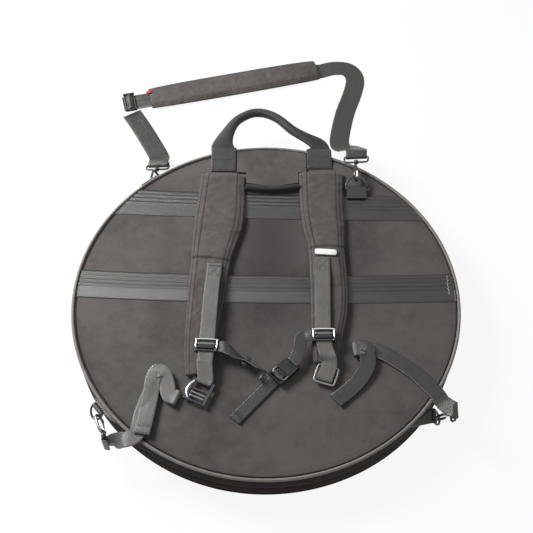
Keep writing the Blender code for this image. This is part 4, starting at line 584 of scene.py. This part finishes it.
def refinedNode(node, look, slotName, bevel=0.0, rounds=0, segments=2, crease=40.0, swell=0.0):
    # a welded copy of the solid with larger faces, swollen a little outwards, either rounded as wire
    # or with softened corners
    points, triangles = weldedNode(node)
    if swell:
        p, q, r = (points[triangles[:, k]] for k in range(3))
        normal = np.cross(q - p, r - p)
        outward = np.zeros_like(points)
        for k in range(3):
            np.add.at(outward, triangles[:, k], normal / np.maximum(np.linalg.norm(normal, axis=1, keepdims=True), 1e-15))
        points = points + outward / np.linalg.norm(outward, axis=1, keepdims=True) * swell
    piece = makeMesh(node + "Fine", points, triangles)
    shape = bmesh.new()
    shape.from_mesh(piece.data)
    bmesh.ops.join_triangles(shape, faces=shape.faces, angle_face_threshold=math.radians(40),
                             angle_shape_threshold=math.radians(60), cmp_uvs=False)
    bmesh.ops.recalc_face_normals(shape, faces=shape.faces)
    if rounds:
        layer = shape.edges.layers.float.new("crease_edge")
        for item in shape.edges:
            item[layer] = 0.9 if item.is_manifold and item.calc_face_angle(0) > math.radians(crease) else 0.0
    shape.to_mesh(piece.data)
    shape.free()
    piece.data.shade_smooth()
    if bevel:
        soft = piece.modifiers.new("Soft corners", "BEVEL")
        soft.width, soft.segments, soft.limit_method = bevel, segments, "ANGLE"
        soft.angle_limit = math.radians(35)
        soft.harden_normals = True
    if rounds:
        fine = piece.modifiers.new("Round wire", "SUBSURF")
        fine.levels = fine.render_levels = rounds
    return mount(piece, look, slotName, node)


refinedNode("yoke_panel", "shell", "shell_fabric", bevel=0.0008)
for corner in ("top_right", "top_left", "low_left", "low_right"):
    refinedNode("d_ring_" + corner, "gunmetal", "dark_metal", rounds=2, crease=70)
    bright = corner == "low_left"
    refinedNode(corner + "_hook", "cast" if bright else "gunmetal", "cast_metal" if bright else "dark_metal", rounds=2, crease=70)
    refinedNode(corner + "_gate", "nickel", "bright_metal", rounds=2, crease=70)
    raised = corner.startswith("top")
    refinedNode(corner + "_base", "gunmetal" if raised else "plastic", "dark_metal" if raised else "black_plastic", rounds=2, crease=70)
refinedNode("bottom_ring_right", "cast", "bright_metal", rounds=2, crease=70, swell=0.0003)
for fitting in ("chest_slider_left", "chest_slider_right", "tri_glide"):
    refinedNode(fitting, "gunmetal" if fitting != "tri_glide" else "plastic",
                "dark_metal" if fitting != "tri_glide" else "black_plastic", bevel=0.0004)
refinedNode("ladder_lock_left", "gunmetal", "black_plastic", bevel=0.0008, segments=3, swell=0.0009)
refinedNode("buckle_socket", "plastic", "black_plastic", bevel=0.0006, segments=3)
refinedNode("buckle_plug", "plastic", "black_plastic", bevel=0.0005, segments=3)
for side in ("left", "right"):
    refinedNode("zip_slider_" + side, "gunmetal", "zip_metal", bevel=0.0003)
    refinedNode("zip_pull_" + side, "gunmetal", "zip_metal", bevel=0.0002)
print("fittings ready")

# Webbing runs
straps = {
    "handle_anchor_left": {"hems": (0.004, 0.004)}, "handle_anchor_right": {"hems": (0.004, 0.004)},
    # painted highlight: the pad webbings and the lower left strap take the lighter webbing
    "pad_webbing_left": {"hems": (0.006, 0.0), "look": "paintedHighlightWebbing"},
    "pad_webbing_right": {"hems": (0.006, 0.0), "look": "paintedHighlightWebbing"},
    "chest_strap_left": {}, "chest_strap_right": {}, "chest_strap_tail": {"hems": (0.0, 0.010)},
    "shoulder_webbing_long": {}, "shoulder_webbing_short": {},
    "lower_strap_left": {"hems": (0.0, 0.012), "look": "paintedHighlightWebbing"}, "lower_strap_right": {"hems": (0.0, 0.012)},
}
for strapNode, strapWords in straps.items():
    webbingOver(strapNode, ridges=0.10, **strapWords)
print("webbing ready, lengths in mm:", {node: round(runLength(flatRun(node)[0])[-1] * 1000) for node in straps})


# Padded pieces

padOutline = np.array([
    (-0.44, 0.0), (-0.22, 0.0), (0.0, 0.0), (0.22, 0.0), (0.44, 0.0), (0.485, 0.07), (0.5, 0.20), (0.498, 0.36),
    (0.487, 0.50), (0.468, 0.60), (0.447, 0.655), (0.432, 0.650), (0.418, 0.700), (0.395, 0.790), (0.350, 0.885),
    (0.285, 0.950), (0.200, 0.985), (0.100, 1.0), (0.0, 1.0), (-0.100, 1.0), (-0.200, 0.985), (-0.285, 0.950),
    (-0.350, 0.885), (-0.395, 0.790), (-0.418, 0.700), (-0.432, 0.650), (-0.447, 0.655), (-0.468, 0.60),
    (-0.487, 0.50), (-0.498, 0.36), (-0.5, 0.20), (-0.485, 0.07), (-0.44, 0.0)])


def padRun(node):
    # a pad's base middle, its width and its height as vectors along the run, from its ten-cornered solid
    rings = sectionsOf(node, 10)
    edges = np.linalg.norm(np.roll(rings, -1, axis=1) - rings, axis=2).mean(0)
    rings = np.roll(rings, -int(edges.argmax()), axis=1)
    base = (rings[:, 0] + rings[:, 1]) / 2
    return base, (rings[:, 1] - rings[:, 0]) / 0.88, ((rings[:, 5] + rings[:, 6]) / 2 - base) / 0.97


def padOver(node, seed, binding=0.5, ruffle=0.0, steps=5, covers=(), strips=(0.33,)):
    # the cushion outline carried along the run, swollen between its seams, with soft creases
    base, width, height = (curveThrough(part, steps) for part in padRun(node))
    if base[0, 1] < base[-1, 1]:
        base, width, height = base[::-1], width[::-1], height[::-1]
    run = runLength(base)
    outline = curveThrough(padOutline, 3)
    across, upward = outline[:, 0], outline[:, 1]
    full = np.linalg.norm(width, axis=1).mean()
    crease = ripple(run[:, None] * 1.0, across[None] * full, 0.010, seed) * 0.028
    crease = crease + ripple(run[:, None] * 0.4, across[None] * full * 2, 0.004, seed + 5) * 0.012
    lift = upward[None] * (1 - 0.03 + crease * (upward[None] > 0.3))
    waves = 1 - ruffle * (0.5 + 0.5 * np.sin(run[:, None] * math.tau / 0.011)) * (across[None] * width[:, :1] > 0)
    grid = base[:, None] + width[:, None] * (across[None] * waves)[..., None] + height[:, None] * lift[..., None]
    seam = binding * np.exp(-((np.abs(across) - 0.435) / 0.008) ** 2)[None] * (upward > 0.4)[None] + 0 * run[:, None]
    for place in covers:
        seam = seam + 0.9 * np.exp(-((run[:, None] - place) / 0.0012) ** 2) * (upward > 0.5)[None]
    for place in strips:
        line = np.exp(-((np.abs(across) - place) / 0.010) ** 2)[None] * (upward > 0.5)[None]
        seam = seam + 0.8 * line
        grid = grid - height[:, None] * (line * 0.05)[..., None]
    uv = np.stack(np.broadcast_arrays((across * full)[None], run[:, None]), -1)
    piece = closedSurface(node + "Cushion", grid, uv, np.clip(seam, 0, 1))
    return mount(piece, "pad", "pad_fabric", node)


padOver("pad_left", 11, covers=(0.188,))
padOver("pad_right", 23, ruffle=0.02, covers=(0.167,))
padOver("shoulder_pad", 31, binding=1.0, strips=(0.36,))


def rolledOver(node, look, slotName, corners, rib=0.0, pitch=0.003, steps=4, fill=None, seams=()):
    # a round roll carried along the solid's run, with ribs round it
    rings = sectionsOf(node, corners)
    rings = np.concatenate([rings, rings[:, :1]], axis=1)
    fine = curveThrough(rings, steps)
    closed = np.concatenate([fine[:, -3:-1], fine, fine[:, 1:3]], axis=1).swapaxes(0, 1)
    dense = curveThrough(closed, 4).swapaxes(0, 1)[:, 8:-8]
    middle = dense[:, :-1].mean(1, keepdims=True)
    run = runLength(middle[:, 0])
    wave = 1 - rib * (0.5 + 0.5 * np.cos(run * math.tau / pitch))[:, None, None]
    grid = middle + (dense - middle) * wave * 0.985
    girth = np.linspace(0, np.linalg.norm(dense[0, :-1] - middle[0], axis=1).mean() * math.tau, grid.shape[1])
    uv = np.stack(np.broadcast_arrays(girth[None], run[:, None]), -1)
    seam = np.zeros(grid.shape[:2])
    for place in seams:
        seam += np.exp(-((run[:, None] - place * run[-1]) / 0.0015) ** 2)
    piece = mount(closedSurface(node + "Cloth", grid, uv, np.clip(seam, 0, 1)), look, slotName, node)
    return piece if fill is None else piece


rolledOver("yoke_roll", "roll", "roll_fabric", 10, rib=0.10, fill=0.9)
rolledOver("handle_grip", "grip", "handle_webbing", 10, fill=0.9, seams=(0.20, 0.80))
print("padding ready")

for tabNode in ("ring_tab_right", "ring_tab_left", "ring_wing_left", "ring_wing_right"):
    refinedNode(tabNode, "webbing", "webbing", bevel=0.0004)


# Sewing thread and small trim, drawn here alone; the bars and rims overlap the fittings that they sit on

def stitchRun(name, lines, body, pitch=0.0032, radius=0.00036, look="thread"):
    # dashes of thread along lines of points: each dash is a short six-sided bead with a pinhole at each end
    middles, ways = [], []
    for line in lines:
        run = runLength(line)
        places = np.arange(pitch / 2, run[-1], pitch)
        near = [np.stack([np.interp(places + shift, run, line[:, k]) for k in range(3)], 1) for shift in (-0.0006, 0.0006)]
        middles.append((near[0] + near[1]) / 2)
        ways.append((near[1] - near[0]) / np.linalg.norm(near[1] - near[0], axis=1, keepdims=True))
    middle, way = np.concatenate(middles)[:, None, None], np.concatenate(ways)[:, None, None]
    side = np.cross(way, (0, 0, 1.0))
    side = side / np.maximum(np.linalg.norm(side, axis=-1, keepdims=True), 1e-9)
    upward = np.cross(side, way)
    along = (np.array([-0.5, -0.36, 0.36, 0.5]) * pitch * 0.66)[None, :, None, None]
    thick = (np.array([0.02, 1.0, 1.0, 0.02]) * radius)[None, :, None, None]
    turn = np.linspace(0, math.tau, 7)[None, None, :, None]
    grid = middle + way * along + (side * np.cos(turn) + upward * np.sin(turn)) * thick
    faces = gridFaces(4, 7)[None] + (np.arange(len(grid)) * 28)[:, None, None]
    piece = makeMesh(name, grid.reshape(-1, 3), faces.reshape(-1, 4))
    return mount(piece, look, "webbing", body=body)


def onStrap(node, places, lift=0.0009):
    # points on a strap's upper face from (metres from its higher or first end, share of its width)
    middle, width, thick = (curveThrough(part, 3) for part in flatRun(node))
    run = runLength(middle)
    at = np.array([run[-1] + place if place < 0 else place for place, _ in places])
    share = np.array([across for _, across in places])
    point, side, rise = (np.stack([np.interp(at, run, part[:, k]) for k in range(3)], 1) for part in (middle, width, thick))
    rise = rise / np.linalg.norm(rise, axis=1, keepdims=True)
    rise = rise * np.where(rise[:, 2:] < 0, -1, 1)
    corners = point + side * share[:, None] + rise * lift
    return curveThrough(corners, 1) if len(corners) < 2 else np.concatenate([
        np.linspace(corners[k], corners[k + 1], 8) for k in range(len(corners) - 1)])


def boxStitch(node, first, last, reach=0.38):
    # a sewn box with its cross
    return [onStrap(node, [(first, -reach), (first, reach), (last, reach), (last, -reach), (first, -reach)]),
            onStrap(node, [(first, -reach), (last, reach)]), onStrap(node, [(first, reach), (last, -reach)])]


for strapNode in ("pad_webbing_left", "pad_webbing_right", "lower_strap_left", "lower_strap_right", "chest_strap_tail"):
    middle = flatRun(strapNode)[0]
    highEnd = middle[0, 1] > middle[-1, 1]
    if strapNode.startswith("pad"):
        ends = (0.004, 0.026) if highEnd else (-0.004, -0.026)
    else:
        tail = {"lower_strap_left": (-0.583, -0.781), "lower_strap_right": (0.333, -0.605), "chest_strap_tail": (-0.151, -0.703)}
        target = np.array(tail[strapNode]) * bag["radius"]
        first = np.linalg.norm(middle[0, :2] - target) < np.linalg.norm(middle[-1, :2] - target)
        ends = (0.003, 0.017) if first else (-0.003, -0.017)
    stitchRun(strapNode + "Stitches", boxStitch(strapNode, *ends), bodyOf[strapNode])
for anchorNode in ("handle_anchor_left", "handle_anchor_right"):
    middle = flatRun(anchorNode)[0]
    ends = (0.004, 0.030) if middle[0, 1] < middle[-1, 1] else (-0.004, -0.030)
    stitchRun(anchorNode + "Stitches", boxStitch(anchorNode, *ends, reach=0.42)[:1], bodyOf[anchorNode])


def smallPlate(name, look, slotName, body, trim):
    # a thin rounded plate: superellipse outline, a crowned top and a flat back, turned in its plane
    turn = np.linspace(0, math.tau, 49)
    corner = np.stack([np.sign(np.cos(turn)) * np.abs(np.cos(turn)) ** 0.3, np.sign(np.sin(turn)) * np.abs(np.sin(turn)) ** 0.3], 1)
    shrink = np.array([0.0, 0.5, 0.9, 0.98, 1.0, 1.0, 0.97, 0.5, 0.0])[:, None, None]
    height = (np.array([0, 0, 0, 0.1, 0.35, 0.65, 1.0, 1.06, 1.08]) * trim["thick"])[:, None]
    flat = corner[None] * shrink * np.array(trim["size"]) / 2
    angle = math.radians(trim["turn"])
    x = flat[..., 0] * math.cos(angle) - flat[..., 1] * math.sin(angle) + trim["place"][0]
    y = flat[..., 0] * math.sin(angle) + flat[..., 1] * math.cos(angle) + trim["place"][1]
    z = trim["place"][2] + height + flat[..., 1] * trim.get("lean", 0.0)
    grid = np.stack([x, y, np.broadcast_to(z, x.shape)], -1)
    return mount(closedSurface(name, grid, capped=False), look, slotName, body=body)


def rod(name, look, slotName, body, run, thick):
    # a round bar with rounded ends along a run of points
    run = curveThrough(np.array(run, float), 6)
    ahead = np.gradient(run, axis=0)
    ahead = ahead / np.linalg.norm(ahead, axis=1, keepdims=True)
    side = np.cross(ahead, (0, 0, 1.0))
    side = side / np.maximum(np.linalg.norm(side, axis=1, keepdims=True), 1e-9)
    upward = np.cross(side, ahead)
    turn = np.linspace(0, math.tau, 13)[None, :, None]
    reach = np.full(len(run), thick)
    reach[[0, -1]] = thick * 0.6
    grid = run[:, None] + (side[:, None] * np.cos(turn) + upward[:, None] * np.sin(turn)) * reach[:, None, None]
    return mount(closedSurface(name, grid), look, slotName, body=body)


def around(node, turn, places, level=1.0):
    # points from (across, along) metres about a fitting's middle, turned with it, at a share of its height
    low, high = (np.array(corner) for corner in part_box(node))
    middle, angle = (low + high) / 2, math.radians(turn)
    height = low[2] + (high[2] - low[2]) * level
    return [(middle[0] + a * math.cos(angle) - b * math.sin(angle), middle[1] + a * math.sin(angle) + b * math.cos(angle), height)
            for a, b in places]


for side, turn in (("left", -3.0), ("right", 0.5)):
    slider = "chest_slider_" + side
    rod(slider + "Roller", "plastic", "black_plastic", bodyOf[slider], around(
        slider, turn, [(-0.0135, -0.0045), (0, -0.0045), (0.0135, -0.0045)], 1.0), 0.0026)
    rod(slider + "Bar", "cast", "bright_metal", bodyOf[slider], around(
        slider, turn, [(-0.0145, 0.0015), (0, 0.0015), (0.0145, 0.0015)], 1.0), 0.0014)
    rod(slider + "Rail", "nickel", "bright_metal", bodyOf[slider], around(slider, turn, [
        (-0.0165, -0.006), (-0.0165, 0.006), (-0.0150, 0.0098), (0.0150, 0.0098), (0.0165, 0.006), (0.0165, -0.006)], 0.95), 0.0012)
rod("lockArm", "nickel", "bright_metal", "ladder_lock", around("ladder_lock_left", -24.0, [
    (-0.0140, 0.0150), (-0.0185, 0.0060), (-0.0185, -0.0070), (-0.0120, -0.0165)], 0.9), 0.0020)
for number, along in enumerate((-0.0105, -0.0045)):
    rod(f"lockBar{number}", "cast", "bright_metal", "ladder_lock", around(
        "ladder_lock_left", -24.0, [(-0.012, along), (0, along), (0.0135, along)], 0.9), 0.0015)
rod("buckleRim", "cast", "bright_metal", bodyOf["buckle_plug"], around("buckle_plug", -47.0, [
    (-0.0120, 0.0030), (-0.0125, -0.0040), (-0.0080, -0.0092), (0.0080, -0.0092), (0.0125, -0.0040), (0.0120, 0.0030)], 0.98), 0.0010)
rod("buckleRoller", "plastic", "black_plastic", bodyOf["buckle_plug"], around(
    "buckle_plug", -47.0, [(-0.0085, -0.0015), (0, -0.0015), (0.0085, -0.0015)], 0.95), 0.0022)
for number, along in enumerate((0.0015, 0.0045, 0.0075)):
    rod(f"buckleRib{number}", "plastic", "black_plastic", bodyOf["buckle_socket"], around(
        "buckle_socket", -47.0, [(-0.0085, along), (0, along), (0.0085, along)], 0.99), 0.0009)
chestRun = flatRun("chest_strap_left")[0]
keeperAt = chestRun[np.argmin(np.linalg.norm(chestRun[:, :2] - (-0.0298, -0.1294), axis=1))]
smallPlate("chestKeeper", "plastic", "black_plastic", "chest_strap",
           {"place": (keeperAt[0], keeperAt[1], keeperAt[2] + 0.0012), "size": (0.008, 0.017), "thick": 0.0030, "turn": -35.0})

webTop = {side: flatRun("pad_webbing_" + side) for side in ("left", "right")}
plateAt = np.array((0.1010, 0.0752))
near = np.argmin(np.linalg.norm(webTop["right"][0][:, :2] - plateAt, axis=1))
plateHeight = float(webTop["right"][0][near, 2]) + 0.0012
smallPlate("plainPlate", "plate", "webbing", "harness",
           {"place": (0.1010, 0.0752, plateHeight), "size": (0.0370, 0.0115), "thick": 0.0008, "turn": -4.0})
padEnd = [np.array(corner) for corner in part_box("shoulder_pad")]
smallPlate("redTab", "redTab", "pad_fabric", "shoulder_pad",
           {"place": (padEnd[0][0] + 0.0015, 0.5090, 0.0105), "size": (0.011, 0.006), "thick": 0.0010, "turn": 20.0})
frayed = np.stack([0.3025 + 0.0022 * (np.arange(13) % 2), np.linspace(0.036, -0.002, 13), np.full(13, 0.0602)], 1)
stitchRun("bandEndThread", [frayed], "lid", radius=0.0004, look="plate")
print("thread and trim ready")

# Camera at the photograph's angle
view = {"place": (0.0, -0.788, 1.334), "tilt": 33.5, "lens": 61.04, "shift": 0.001}
camera = bpy.data.objects.new("photoCamera", bpy.data.cameras.new("photoCamera"))
camera.location = view["place"]
camera.rotation_euler = (math.radians(view["tilt"]), 0, 0)
camera.data.lens, camera.data.sensor_width, camera.data.shift_x = view["lens"], 36, view["shift"]
bpy.context.scene.collection.objects.link(camera)
bpy.context.scene.camera = camera

# Soft studio light: a white room, one broad lamp from behind on the left and a weak one in front
studio = {"room": 0.24, "lamps": (((-1.20, 0.75, 1.10), 0.8, 50.0), ((0.2, -1.6, 2.4), 2.0, 6.0))}
world = bpy.data.worlds.new("whiteRoom")
world.use_nodes = True
bpy.context.scene.world = world
room = world.node_tree
rays = addNode(room, "ShaderNodeLightPath")
seen = addNode(room, "ShaderNodeMath", {"operation": "MAXIMUM"}, {0: rays.outputs["Is Camera Ray"], 1: rays.outputs["Is Glossy Ray"]})
seen = addNode(room, "ShaderNodeMath", {"operation": "MAXIMUM"}, {0: seen.outputs[0], 1: rays.outputs["Is Transmission Ray"]})
level = addNode(room, "ShaderNodeMapRange", None, {"Value": seen.outputs[0], "To Min": studio["room"], "To Max": 1.0})
room.links.new(level.outputs[0], room.nodes["Background"].inputs["Strength"])
room.nodes["Background"].inputs["Color"].default_value = (1, 1, 1, 1)
for number, (place, size, power) in enumerate(studio["lamps"]):
    lamp = bpy.data.lights.new(f"softBox{number}", "AREA")
    lamp.shape, lamp.size, lamp.energy = "DISK", size, power
    holder = bpy.data.objects.new(f"softBox{number}", lamp)
    away = -np.array(place)
    holder.location = place
    holder.rotation_euler = (math.atan2(math.hypot(away[0], away[1]), -away[2]), 0, math.atan2(away[1], away[0]) - math.pi / 2)
    bpy.context.scene.collection.objects.link(holder)

# Pale floor that shows white to the camera and keeps a faint shadow
floorCorners = np.array([(-4, -4, -0.0005), (4, -4, -0.0005), (4, 4, -0.0005), (-4, 4, -0.0005)], float)
floorPiece = makeMesh("paleFloor", floorCorners, np.array([(0, 1, 2, 3)]))
floorMaterial, floorTree, floorShader = newMaterial("matWhitePaint", {"Base Color": hexToLinear("#f4f4f3"), "Roughness": 0.9})
floorRays = addNode(floorTree, "ShaderNodeLightPath")
floorSeen = addNode(floorTree, "ShaderNodeMath", {"operation": "MAXIMUM"},
                    {0: floorRays.outputs["Is Camera Ray"], 1: floorRays.outputs["Is Glossy Ray"]})
floorShare = addNode(floorTree, "ShaderNodeMath", {"operation": "MULTIPLY"}, {0: floorSeen.outputs[0], 1: 0.90})
glow = addNode(floorTree, "ShaderNodeEmission", None, {"Color": (1, 1, 1, 1), "Strength": 1.0})
mixed = addNode(floorTree, "ShaderNodeMixShader", None, {0: floorShare.outputs[0], 1: floorShader.outputs[0], 2: glow.outputs[0]})
floorTree.links.new(mixed.outputs[0], floorTree.nodes["Material Output"].inputs["Surface"])
floorPiece.data.materials.append(floorMaterial)
bpy.context.scene.view_settings.view_transform = "Standard"

print("scene ready")
